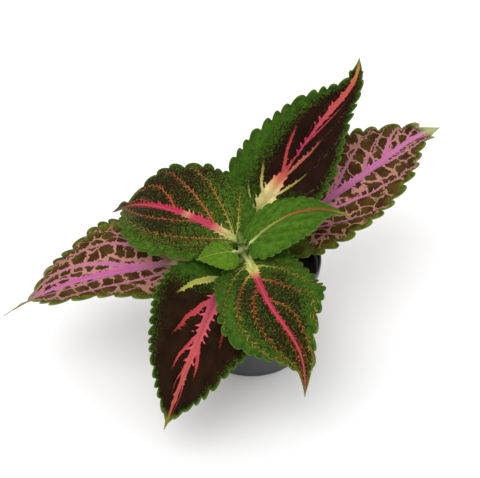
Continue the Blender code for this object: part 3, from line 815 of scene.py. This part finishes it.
leafBack = dict(
    pair="second", base=(6, 47, 108), heading=52,
    reach=151, rise=87, arch=3, bow=3, late=0.8, hook=8,
    width=0.57, outline=drawnOut, lobe=(17, 6), tail=0.02, roll=(-10, 5), fold=25, bend=10,
    teeth=(18, 17), teethEnd=0.93, toothDepth=0.52, point=0.4, stalk=1.0,
    bulges=((1, 0.86, 0.25, 0.09), (-1, 0.8, -0.16, 0.15), (-1, 0.4, -0.14, 0.25)),
    leftVeins=(
        (0, 0.2, 0.5, 0), (0, 0.38, 0.9, 0), (0.08, 0.6, 1.3, 0, 0.75), (0.23, 0.83, 1.4, 1, 0.65),
        (0.45, 1.05, 0.04, 1),
    ),
    rightVeins=(
        (0, 0.35, 0.6, 0), (0.1, 0.62, 1.5, 0, 0.62), (0.21, 0.84, 1.8, 0.8, 0.55),
        (0.42, 1.04, 0.9, 1, 0.7), (0.66, 1.2, 0.5, 1),
    ),
    veinCurve=(2, 1.8),
    look=dict(
        dark=paint(31, 15, 9), darkToo=paint(40, 20, 12),
        greenFrom=(0.42, 0.88), greenTaper=0.5, greenEdge=3.8, greenBase=0.1,
        speckle=(1.2, 1.0), blotch=(1.0, 1.5), specks=0.12,
        netCell=4.5, netReach=3.0, netStrength=0.2,
        sideWidth=(0.95, 0.25), sideFade=(0.3, 0.62), sideSpikes=(0.8, 5.2), spikeBreadth=0.16,
        sideColours=((0.0, paint(214, 84, 92)), (0.5, paint(180, 66, 66)), (1.0, paint(120, 50, 44))),
        coolColours=(
            (0.0, paint(216, 200, 116)), (0.35, paint(180, 160, 70)), (0.6, paint(124, 146, 56)),
            (1.0, paint(110, 150, 56)),
        ),
        baseGlow=(22, 38), baseColour=paint(230, 218, 134), ribSpikes=(2.8, 9.0),
        ribWidth=(
            (0.0, 3.5), (0.08, 8.4), (0.18, 6.8), (0.26, 2.0), (0.31, 0.1), (0.36, 0.7), (0.48, 1.1),
            (0.58, 2.2), (0.67, 3.3), (0.85, 2.2), (1.0, 0.7),
        ),
        ribColours=(
            (0.0, paint(220, 214, 126)), (0.13, paint(238, 220, 154)), (0.2, paint(222, 130, 100)),
            (0.28, paint(196, 70, 72)), (0.36, paint(190, 46, 96)), (0.5, paint(206, 64, 104)),
            (0.65, paint(216, 94, 96)), (0.83, paint(220, 106, 84)), (0.93, paint(206, 160, 80)),
        ),
        ribRim=paint(190, 44, 66), centreStrength=0.25,
        tip=(0.93, 0.99), tipColour=paint(120, 140, 60), under=paint(120, 84, 74),
    ),
)
leafFrontLeft = dict(
    pair="second", base=(-22, -39, 105), heading=-116,
    reach=113, rise=-70, arch=23, bow=-5, late=0.2,
    width=0.73, outline=broad, lobe=(8, 16), tail=0.02, roll=(15, -10), fold=10, bend=15,
    teeth=(20, 22), toothDepth=0.56, point=0.4, stalk=1.0,
    bulges=((1, 0.5, -0.1, 0.2), (-1, 0.62, -0.1, 0.2)),
    leftVeins=(
        (0, 0.5, 0.5, 0.4), (0.14, 0.9, 0.9, 1, 0.8), (0.53, 1.05, 1.2, 1, 0.5), (0.72, 1.2, 0.3, 1),
    ),
    rightVeins=(
        (0, 0.58, 3.0, 0, 0.8), (0.2, 0.86, 1.7, 1, 0.7), (0.48, 1.03, 1, 1, 0.6), (0.66, 1.2, 0.4, 1, 0.4),
    ),
    veinCurve=(1.5, 1.8),
    look=dict(
        dark=paint(30, 17, 6), darkToo=paint(42, 24, 10),
        greenFrom=(0.97, 0.95), greenEdge=3.0, greenBase=0.14,
        speckle=(1.2, 0.7), blotch=(0.7, 1.4), specks=0.12,
        netStrength=0.0,
        sideWidth=(1.3, 0.2), sideFade=(0.35, 0.68), sideSpikes=(0.55, 4.5),
        sideColours=(
            (0.0, paint(220, 88, 104)), (0.35, paint(200, 70, 70)), (0.6, paint(130, 44, 36)),
            (1.0, paint(80, 34, 22)),
        ),
        coolColours=((0.0, paint(206, 196, 110)), (0.5, paint(190, 186, 90)), (1.0, paint(120, 140, 56))),
        baseGlow=(8, 20), ribSpikes=(3.6, 8.5), ribRagged=1.3,
        ribWidth=(
            (0.0, 2.0), (0.1, 3.2), (0.2, 5.0), (0.35, 3.9), (0.5, 3.2), (0.7, 2.3), (0.9, 1.1), (1.0, 0.5),
        ),
        ribColours=(
            (0.0, paint(190, 170, 110)), (0.12, paint(205, 96, 120)), (0.3, paint(214, 90, 112)),
            (0.6, paint(216, 98, 100)), (0.9, paint(206, 100, 84)), (1.0, paint(180, 140, 66)),
        ),
        ribRim=paint(186, 60, 70), centre=paint(150, 66, 60), centreStrength=0.5,
        tip=(0.91, 0.98), tipColour=paint(142, 140, 52), under=paint(110, 70, 60),
    ),
)
leafFront = dict(
    pair="third", base=(-2, -30, 115), heading=-66,
    reach=107, rise=-55, arch=28, bow=7, late=0.5, hook=-9,
    width=0.71, outline=oval, lobe=(31, 9), tail=0.05, roll=(-5, -15), fold=10, bend=20,
    teeth=(18, 16), teethEnd=0.92, toothDepth=0.48, point=0.5, stalk=1.4,
    bulges=(
        (1, 0.36, -0.18, 0.2), (1, 0.56, 0.04, 0.12), (-1, 0.25, -0.1, 0.12), (-1, 0.44, -0.08, 0.1),
        (-1, 0.61, 0.07, 0.08), (-1, 0.81, -0.36, 0.1),
    ),
    leftVeins=(
        (0, 0.3, 0.3, 0), (0.04, 0.58, 1.1, 0.2), (0.22, 0.8, 1.3, 1), (0.43, 0.94, 1.2, 0.9),
        (0.66, 1.12, 0.5, 1),
    ),
    rightVeins=(
        (0, 0.22, 0.3, 0), (0, 0.58, 0.7, 0.2), (0.12, 0.92, 1.2, 0.8), (0.27, 1.12, 1.1, 1),
        (0.66, 1.25, 0.6, 1),
    ),
    veinCurve=(2.3, 2.2),
    look=dict(
        dark=paint(30, 28, 12), darkToo=paint(42, 26, 14), green=paint(44, 78, 18),
        greenToo=paint(66, 98, 26),
        greenFrom=(0.42, 0.42), greenTaper=0.3, greenEdge=5.0, greenBase=0.2, greenInside=0.3,
        speckle=(1.1, 0.5), blotch=(0.8, 2.4), soft=0.14, specks=0.5, speckColour=paint(116, 140, 52),
        netCell=5.5, netRows=(3.0, 3.0), netWidth=(0.2, 0.22), netReach=7.0, netEnd=(1.5, 4.0),
        netStrength=0.45, netFaint=0.0, net=paint(140, 76, 38), netOut=paint(140, 136, 56),
        sideWidth=(0.5, 0.2), sideFade=(0.9, 1.2), sideSpikes=(2.1, 3.8), spikeBreadth=0.12, sideRagged=0.9,
        coreWidth=0.42, fringe=0.8, fringeColour=paint(186, 164, 66),
        sideColours=(
            (0.0, paint(180, 36, 44)), (0.5, paint(146, 40, 30)), (0.8, paint(160, 90, 44)),
            (1.0, paint(160, 140, 60)),
        ),
        coolColours=(
            (0.0, paint(200, 190, 84)), (0.4, paint(190, 130, 56)), (0.8, paint(170, 110, 50)),
            (1.0, paint(150, 150, 60)),
        ),
        baseGlow=(14, 40), baseColour=paint(212, 206, 96), ribSpikes=(2.0, 5.0),
        ribWidth=((0.0, 3.6), (0.06, 5.0), (0.12, 4.0), (0.18, 2.7), (0.4, 2.1), (0.7, 1.5), (1.0, 0.5)),
        ribColours=(
            (0.0, paint(200, 204, 104)), (0.1, paint(220, 212, 112)), (0.15, paint(216, 140, 110)),
            (0.2, paint(206, 60, 84)), (0.7, paint(200, 60, 84)), (0.9, paint(150, 56, 56)),
            (1.0, paint(110, 80, 40)),
        ),
        ribRim=paint(176, 34, 60),
        tip=(0.96, 1.0), tipColour=paint(84, 110, 40), under=paint(116, 136, 76),
    ),
)
leafBackLeft = dict(
    pair="third", base=(-13, 2, 114), heading=149,
    reach=133, rise=-24, arch=25, bow=-8, late=0.2,
    width=0.76, outline=oval, lobe=(8, 17), tail=0.12, roll=(5, 15), fold=15, bend=15,
    teeth=(15, 15), toothDepth=0.46, crowding=0.82, point=0.4, stalk=1.2,
    bulges=(
        (1, 0.92, -0.78, 0.1), (1, 0.68, 0.1, 0.1), (1, 0.48, -0.05, 0.12), (-1, 0.8, -0.18, 0.15),
        (-1, 0.12, -0.06, 0.14),
    ),
    leftVeins=(
        (0, 0.4, 0.4, 0), (0, 0.75, 0.5, 0), (0.05, 1.0, 1.1, 0.5), (0.26, 1.14, 1.1, 0.8),
        (0.5, 1.4, 0.4, 1),
    ),
    rightVeins=(
        (0, 0.15, 1.1, 0), (0, 0.55, 1.3, 0.2), (0.12, 0.74, 1.4, 0.8), (0.42, 0.84, 1.2, 0.9),
        (0.62, 0.95, 0.5, 1),
    ),
    veinCurve=(2.2, 1.3),
    look=dict(
        dark=paint(42, 22, 12), darkToo=paint(34, 22, 10), green=paint(54, 84, 18),
        greenToo=paint(74, 110, 30),
        greenFrom=(0.74, 0.98), greenEdge=3.4, greenBase=0.24, greenInside=0.12,
        speckle=(1.3, 1.1), blotch=(1.3, 1.3), soft=0.1, specks=0.3, speckColour=paint(112, 140, 50),
        netCell=5.0, netRows=(3.0, 3.0), netWidth=(0.25, 0.22), netReach=6.0, netStrength=0.6, netFaint=0.0,
        net=paint(176, 84, 50), netOut=paint(140, 100, 50),
        sideWidth=(0.42, 0.16), sideFade=(0.8, 1.05), sideSpikes=(2.0, 3.8), spikeBreadth=0.15,
        sideRagged=1.1, fringe=0.5, fringeColour=paint(196, 130, 70),
        sideColours=((0.0, paint(214, 84, 66)), (0.5, paint(190, 90, 60)), (1.0, paint(150, 80, 56))),
        coolColours=((0.0, paint(196, 184, 90)), (0.5, paint(176, 160, 70)), (1.0, paint(110, 130, 50))),
        baseGlow=(12, 26), baseColour=paint(200, 190, 100), ribSpikes=(2.8, 5.0), ribRagged=2.2,
        ribWidth=(
            (0.0, 3.0), (0.08, 4.2), (0.2, 3.7), (0.45, 3.0), (0.62, 2.4), (0.74, 1.4), (0.86, 0.3),
            (1.0, 0.1),
        ),
        ribColours=(
            (0.0, paint(196, 200, 112)), (0.09, paint(222, 208, 136)), (0.14, paint(226, 150, 120)),
            (0.18, paint(208, 70, 96)), (0.3, paint(206, 62, 92)), (0.35, paint(228, 156, 124)),
            (0.39, paint(206, 56, 90)), (0.7, paint(200, 56, 84)), (0.85, paint(110, 40, 44)),
        ),
        ribRim=paint(186, 50, 70), centreStrength=0.55,
        tip=(0.9, 1.0), tipColour=paint(50, 60, 22), under=paint(120, 106, 76),
    ),
)
youngRight = dict(
    pair="top", base=(-1, -7, 119), heading=16,
    reach=92, rise=6, arch=18, bow=-4, late=0.0,
    width=0.6, outline=drawnOut, lobe=(16, 12), tail=0.04, roll=(5, 5), fold=10, bend=30,
    teeth=(17, 17), point=0.25, stalk=1.0,
    bulges=((1, 0.5, 0.16, 0.25),),
    leftVeins=((0, 0.4, 0.8, 0), (0.08, 0.62, 0.8, 0), (0.28, 0.8, 0.6, 0), (0.5, 0.95, 0.5, 0)),
    rightVeins=((0, 0.35, 0.8, 0), (0.05, 0.6, 0.9, 0), (0.24, 0.76, 0.7, 0), (0.46, 0.92, 0.6, 0)),
    veinCurve=(1.6, 1.6),
    look=dict(
        dark=paint(58, 84, 18), darkToo=paint(66, 92, 22), green=paint(60, 96, 22),
        greenToo=paint(80, 120, 30),
        greenInside=0.7,
        speckle=(0.5, 0.2), blotch=(0.1, 1.2), soft=0.3, specks=0.25, speckColour=paint(120, 150, 60),
        netStrength=0.0,
        sideWidth=(0.3, 0.12), sideFade=(0.25, 0.7), sideSpikes=(0.2, 3.0),
        coolColours=((0.0, paint(120, 150, 50)), (1.0, paint(90, 132, 36))),
        baseGlow=(6, 24), baseColour=paint(165, 185, 93), ribSpikes=(0.5, 3.0), ribRagged=0.8,
        ribWidth=((0.0, 1.8), (0.3, 1.3), (0.55, 1.7), (0.8, 1.5), (1.0, 1.0)),
        ribColours=(
            (0.0, paint(165, 185, 93)), (0.25, paint(160, 160, 76)), (0.42, paint(164, 92, 58)),
            (0.78, paint(164, 76, 52)), (0.88, paint(176, 170, 66)), (1.0, paint(170, 190, 76)),
        ),
        ribRim=paint(120, 100, 40), centre=paint(190, 110, 76), centreStrength=0.3,
        # the tip, the strength of the painted shade between the swellings, and the back
        tip=(0.9, 0.98), tipColour=paint(160, 184, 70), relief=0.28, under=paint(130, 150, 90),
    ),
)
youngLeft = dict(
    pair="top", base=(-15, -22, 122), heading=-161,
    reach=33, rise=0, arch=4, bow=-2, late=0.0,
    width=0.85, outline=broad, lobe=(1, 1), tail=0.03, roll=(0, 0), fold=10, bend=20,
    teeth=(11, 11), point=0.3, stalk=1.0,
    bulges=((-1, 0.4, 0.5, 0.35),),
    leftVeins=((0, 0.35, 0.8, 0), (0.1, 0.6, 0.8, 0), (0.35, 0.85, 0.6, 0)),
    rightVeins=((0, 0.35, 0.8, 0), (0.15, 0.65, 0.8, 0), (0.42, 0.85, 0.6, 0)),
    veinCurve=(1.6, 1.6),
    look=dict(
        youngRight["look"],
        green=paint(80, 118, 22), greenToo=paint(98, 136, 34),
        greenInside=0.9,
        sideWidth=(0.3, 0.1),
        ribWidth=((0.0, 0.8), (1.0, 0.3)),
        ribColours=((0.0, paint(165, 185, 90)), (1.0, paint(140, 160, 60))), centre=paint(160, 180, 90),
    ),
)
leaves = dict(
    leaf_right=leafRight, leaf_left=leafLeft, leaf_back=leafBack, leaf_front_left=leafFrontLeft,
    leaf_front=leafFront, leaf_back_left=leafBackLeft,
    young_leaf_right=youngRight, young_leaf_left=youngLeft,
)


def makeLeaves():
    palePetiole = stalkMaterial("pale petiole", paint(194, 204, 128), paint(154, 172, 92))
    beigePetiole = stalkMaterial("beige petiole", paint(206, 190, 140), paint(180, 160, 112))
    for name, leaf in leaves.items():
        look = {**plainLook, **leaf["look"]}
        finishes = (leafMaterial(name + " top", look), leafMaterial(name + " underside", look, under=True))
        small = leaf is youngLeft
        made = makeBlade(name + "_blade", leaf, finishes, blade["smallGrid" if small else "grid"])
        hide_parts(name)
        path, radii = stalkPath(leaf)
        bm = tube(path, radii, petiole["sides"], petiole["furrow"])
        addHairs(bm, hair["onSmallLeaf" if small else "onLeaf"], hair["length"])
        skin = beigePetiole if leaf["pair"] == "lowest" else palePetiole
        finished(bm, name + "_stalk", [skin])
        print(name, "made")


makeLeaves()


# Stem and its growing tip

# each head is the way a tiny leaf points and its size, and budLeaf is the form that all four share
bud = dict(
    heads=((112, 12.0), (292, 12.0), (25, 7.0), (205, 7.0)), reach=0.62, rise=0.77, inset=(0.8, 0, -1.2),
)
budVeins = ((0.1, 0.4, 0.8, 0), (0.4, 0.7, 0.6, 0))
budLeaf = dict(
    arch=0.8, bow=0, late=0.2,
    width=0.55, outline=broad, lobe=(0, 0), tail=0.02, roll=(0, 0), fold=28, bend=20,
    teeth=(6, 6), point=0.3,
    leftVeins=budVeins,
    rightVeins=budVeins,
    veinCurve=(1.5, 1.5),
    look=dict(
        youngLeft["look"],
        dark=paint(96, 112, 60), green=paint(120, 146, 84), greenToo=paint(100, 132, 62),
    ),
)


def makeStem():
    finish = stalkMaterial("stem skin", paint(184, 198, 132), paint(146, 166, 92))
    heights = np.linspace(stem["foot"], stem["tip"][2], stem["rings"])
    bm = bmesh.new()
    bmesh.ops.create_grid(bm, x_segments=stem["sides"], y_segments=len(heights) - 1, size=1)
    for vert in bm.verts:
        angle = (vert.co.x + 1) * math.pi
        height = heights[round((vert.co.y + 1) / 2 * (len(heights) - 1))]
        square = stem["squareness"] * min(1, max(0, (height - stem["soil"][2]) / 3))  # round below the soil
        radius = stemRadius(height) * (1 - square + square * math.cos(4 * angle))
        if height > stem["tip"][2] - stem["endLength"]:
            radius *= stem["endShare"]
        vert.co = stemAxis(height) + Vector((math.cos(angle), math.sin(angle), 0)) * radius
    bmesh.ops.remove_doubles(bm, verts=bm.verts, dist=0.01)
    bmesh.ops.holes_fill(bm, edges=bm.edges, sides=stem["sides"] + 2)
    bmesh.ops.recalc_face_normals(bm, faces=bm.faces)
    addHairs(bm, hair["onStem"], hair["stemLength"])
    made = finished(bm, "stem_skin", [finish])
    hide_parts("stem")

    look = {**plainLook, **budLeaf["look"]}
    finishes = (leafMaterial("bud leaf top", look), leafMaterial("bud leaf underside", look, under=True))
    for number, (heading, size) in enumerate(bud["heads"]):
        turn = Matrix.Rotation(math.radians(heading), 3, "Z")
        base = Vector(stem["tip"]) + turn @ Vector(bud["inset"])
        place = dict(base=tuple(base), heading=heading, reach=size * bud["reach"], rise=size * bud["rise"])
        makeBlade("bud_leaf_%d" % (number + 1), {**budLeaf, **place}, finishes, blade["budGrid"])


makeStem()
print("stem and bud made")


# Pot

pot = dict(
    rim=60.0, height=98.0, foot=50.0, wall=1.6, floor=2.8, lip=8.5, overhang=2.6, step=8.0, stepIn=0.6,
    pad=12.0, ring=8.0, recess=1.2, holes=6, holeRadius=4.0, holeCircle=27.0, sides=144, band=9.0,
)


def innerRadius(height):
    low, high = pot["foot"] - pot["wall"], pot["rim"] - pot["overhang"] - pot["wall"]
    return low + (high - low) * (height - pot["floor"]) / (pot["height"] - pot["lip"] - pot["floor"])


def roundedProfile(corners, pieces=4):
    # each corner of (radius, height, rounding) is replaced by a short arc
    made = []
    for number, (radius, height, rounding) in enumerate(corners):
        here = Vector((radius, height))
        if rounding == 0:
            made.append(here)
            continue
        before = Vector(corners[number - 1][:2]) - here
        after = Vector(corners[number + 1][:2]) - here
        first = here + before.normalized() * min(rounding, before.length * 0.49)
        last = here + after.normalized() * min(rounding, after.length * 0.49)
        for step in range(pieces + 1):
            share = step / pieces
            made.append(first.lerp(here, share).lerp(here.lerp(last, share), share))
    return made


def spun(profile, steps):
    bm = bmesh.new()
    verts = [bm.verts.new((point.x, 0, point.y)) for point in profile]
    edges = [bm.edges.new(pair) for pair in zip(verts, verts[1:])]
    bmesh.ops.spin(
        bm, geom=verts + edges, cent=(0, 0, 0), axis=(0, 0, 1), angle=math.tau, steps=steps, use_merge=True,
    )
    bmesh.ops.remove_doubles(bm, verts=bm.verts, dist=0.001)
    bmesh.ops.recalc_face_normals(bm, faces=bm.faces)
    return bm


def potMaterial():
    board = Board("grey nursery plastic", roughness=0.42)
    place = board.objectPlace((1000, 1000, 1000))
    grain = board.noise(place, 1.6, 3.0, 0.7)
    cloud = board.noise(place, 0.03, 3.0)
    scuffs = board.noise(board.objectPlace((140, 140, 1500)), 1.0, 3.0, 0.75)
    colour = board.mix(board.step(cloud, 0.3, 0.7), paint(58, 61, 62), paint(68, 71, 72))
    colour = board.mix(board.step(scuffs, 0.6, 0.78, 0.0, 0.3), colour, paint(96, 98, 98))
    parts = board.tree.nodes.new("ShaderNodeSeparateXYZ")
    board.put(parts.inputs[0], place)
    nearRim = board.add(parts.outputs["Z"], board.times(grain, 9))
    dusty = board.step(nearRim, 88, 106, 0.0, 0.35)
    dusty = board.times(dusty, board.step(board.noise(place, 0.35, 3.0), 0.5, 0.72))
    colour = board.mix(dusty, colour, paint(52, 42, 32))
    board.put(board.shader.inputs["Base Color"], colour)
    board.put(board.shader.inputs["Roughness"], board.scaled(scuffs, 0.3, 0.28))
    board.bump(board.add(grain, board.times(scuffs, 0.6)), 0.00012, 0.5)
    return board.material


def makePot():
    underLip = pot["height"] - pot["lip"]
    stepOut = innerRadius(pot["step"]) + pot["wall"]
    wallTop = innerRadius(underLip) + pot["wall"]
    ringIn = pot["foot"] - pot["ring"]
    # from the middle of the underside, up the outer wall, over the rim and down to the floor
    corners = [
        (0, 0, 0),
        (pot["pad"], 0, 0.5),
        (pot["pad"] + 1, pot["recess"], 0.5),
        (ringIn - 1, pot["recess"], 0.5),
        (ringIn, 0, 0.5),
        (pot["foot"] - 0.15, 0, 1.6),
        (stepOut, pot["step"] - 0.7, 0.4),
        (stepOut + pot["stepIn"], pot["step"], 0.4),
        (wallTop, underLip - 0.4, 0.6),
        (pot["rim"] - 0.6, underLip + 0.1, 0.9),
        (pot["rim"], pot["height"] - 1.0, 0.8),
        (pot["rim"] - 1.3, pot["height"], 1.0),
        (pot["rim"] - pot["overhang"], underLip + 1.2, 0.8),
        (innerRadius(underLip), underLip, 0.6),
        (innerRadius(pot["floor"]) - 0.4, pot["floor"], 1.6),
        (0, pot["floor"], 0),
    ]
    profile = roundedProfile(corners)
    smoothWall = []
    for before, after in zip(profile, profile[1:]):
        # tall bands are cut, so that the shading stays even
        pieces = max(1, round((after - before).length / pot["band"]))
        smoothWall += [before.lerp(after, step / pieces) for step in range(pieces)]
    shell = spun(smoothWall + [profile[-1]], pot["sides"])
    made = finished(shell, "pot_shell", [potMaterial()], sharp=40)
    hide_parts("pot")

    bm = bmesh.new()
    for hole in range(pot["holes"]):
        angle = math.tau * (hole + 0.5) / pot["holes"]
        middle = Vector((math.cos(angle), math.sin(angle), 0)) * pot["holeCircle"]
        middle.z = pot["floor"] / 2
        bmesh.ops.create_cone(
            bm, cap_ends=True, segments=28, radius1=pot["holeRadius"], radius2=pot["holeRadius"],
            depth=pot["floor"] + 6, matrix=Matrix.Translation(middle),
        )
    bmesh.ops.scale(bm, vec=(mm, mm, mm), verts=bm.verts)
    mesh = bpy.data.meshes.new("drain holes")
    bm.to_mesh(mesh)
    bm.free()
    cutter = bpy.data.objects.new("drain holes", mesh)
    bpy.context.scene.collection.objects.link(cutter)
    cut = made.modifiers.new("drain holes", "BOOLEAN")
    cut.operation = "DIFFERENCE"
    cut.object = cutter
    bpy.context.view_layer.update()
    drilled = bpy.data.meshes.new_from_object(made.evaluated_get(bpy.context.evaluated_depsgraph_get()))
    made.modifiers.clear()
    made.data = drilled
    bpy.data.objects.remove(cutter)


makePot()
print("pot made")


# Soil

soil = dict(
    height=84.0, lumps=1.6, rings=44, steps=170, clearance=0.3, bevel=1.5,
    crumbs=520, slivers=46, stemRoom=7.0,
)


def soilMaterial(name, dark, light):
    board = Board(name, roughness=0.95)
    place = board.objectPlace((1000, 1000, 1000))
    grain = board.noise(place, 1.1, 4.0, 0.7)
    cloud = board.noise(place, 0.12, 2.0)
    colour = board.mix(board.step(grain, 0.35, 0.75), dark, light)
    colour = board.mix(board.step(cloud, 0.4, 0.7, 0.0, 0.5), colour, dark)
    board.put(board.shader.inputs["Base Color"], colour)
    board.shader.inputs["Specular IOR Level"].default_value = 0.2
    board.bump(grain, 0.0008, 0.9)
    return board.material


def lumpHeight(x, y):
    place = Vector((x, y, 0))
    coarse = soil["lumps"] * noise.noise(place * 0.09) + 0.5 * soil["lumps"] * noise.noise(place * 0.23)
    return coarse + 0.55 * noise.noise(place * 0.62) + 0.3 * noise.noise(place * 1.4)


def makeSoil():
    finish = soilMaterial("potting soil", paint(24, 18, 12), paint(52, 40, 28))
    bark = soilMaterial("bark bits", paint(52, 36, 24), paint(92, 66, 44))
    outside = innerRadius(soil["height"]) - soil["clearance"]
    low = pot["floor"] + soil["clearance"]
    hole = stem["radius"] + soil["clearance"]
    holeFloor = stem["foot"] - soil["clearance"]
    foot = innerRadius(low + soil["bevel"])
    profile = [Vector((0, low)), Vector((foot - soil["bevel"], low))]
    profile.append(Vector((foot - soil["clearance"], low + soil["bevel"])))
    for ring in range(soil["rings"] + 1):
        profile.append(Vector((hole + (outside - hole) * (1 - ring / soil["rings"]), soil["height"])))
    profile += [Vector((hole, holeFloor)), Vector((0, holeFloor))]
    bm = spun(profile, soil["steps"])
    middle = Vector((stem["soil"][0], stem["soil"][1], 0))
    for vert in bm.verts:
        radius = math.hypot(vert.co.x, vert.co.y)
        if vert.co.z > soil["height"] - 1 and radius > hole + 0.1:
            vert.co.z += lumpHeight(vert.co.x, vert.co.y)
        if vert.co.z > holeFloor - 0.1:
            vert.co += middle * (1 - min(1, max(0, (radius - hole) / (outside - hole))))
    made = finished(bm, "soil_top", [finish])
    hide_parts("soil")

    bm = bmesh.new()
    for number in range(soil["crumbs"] + soil["slivers"]):
        radius = outside * math.sqrt(chance.random()) * 0.97
        angle = chance.uniform(0, math.tau)
        x, y = radius * math.cos(angle), radius * math.sin(angle)
        if math.hypot(x - middle.x, y - middle.y) < soil["stemRoom"]:
            continue
        sliver = number >= soil["crumbs"]
        size = chance.uniform(0.5, 1.0) if sliver else 0.5 + 1.5 * chance.random() ** 3
        stretch = chance.uniform(2, 4.5) if sliver else chance.uniform(0.7, 1.3)
        shape = Matrix.Diagonal((size * stretch, size, size * chance.uniform(0.5, 0.9), 1))
        turn = Matrix.Rotation(chance.uniform(0, math.tau), 4, "Z")
        turn @= Matrix.Rotation(chance.uniform(-0.4, 0.4), 4, "Y")
        place = Matrix.Translation((x, y, soil["height"] + lumpHeight(x, y) + size * 0.25))
        crumb = bmesh.ops.create_icosphere(bm, subdivisions=1, radius=1.0, matrix=place @ turn @ shape)
        if number % 4 == 0 and not sliver:
            for vert in crumb["verts"]:
                vert.co += Vector((chance.uniform(-0.25, 0.25) for _ in range(3))) * size
        for face in bm.faces[-20:] if sliver else ():
            face.material_index = 1  # bark
    finished(bm, "soil_crumbs", [finish, bark], smooth=False)


makeSoil()
print("soil made")
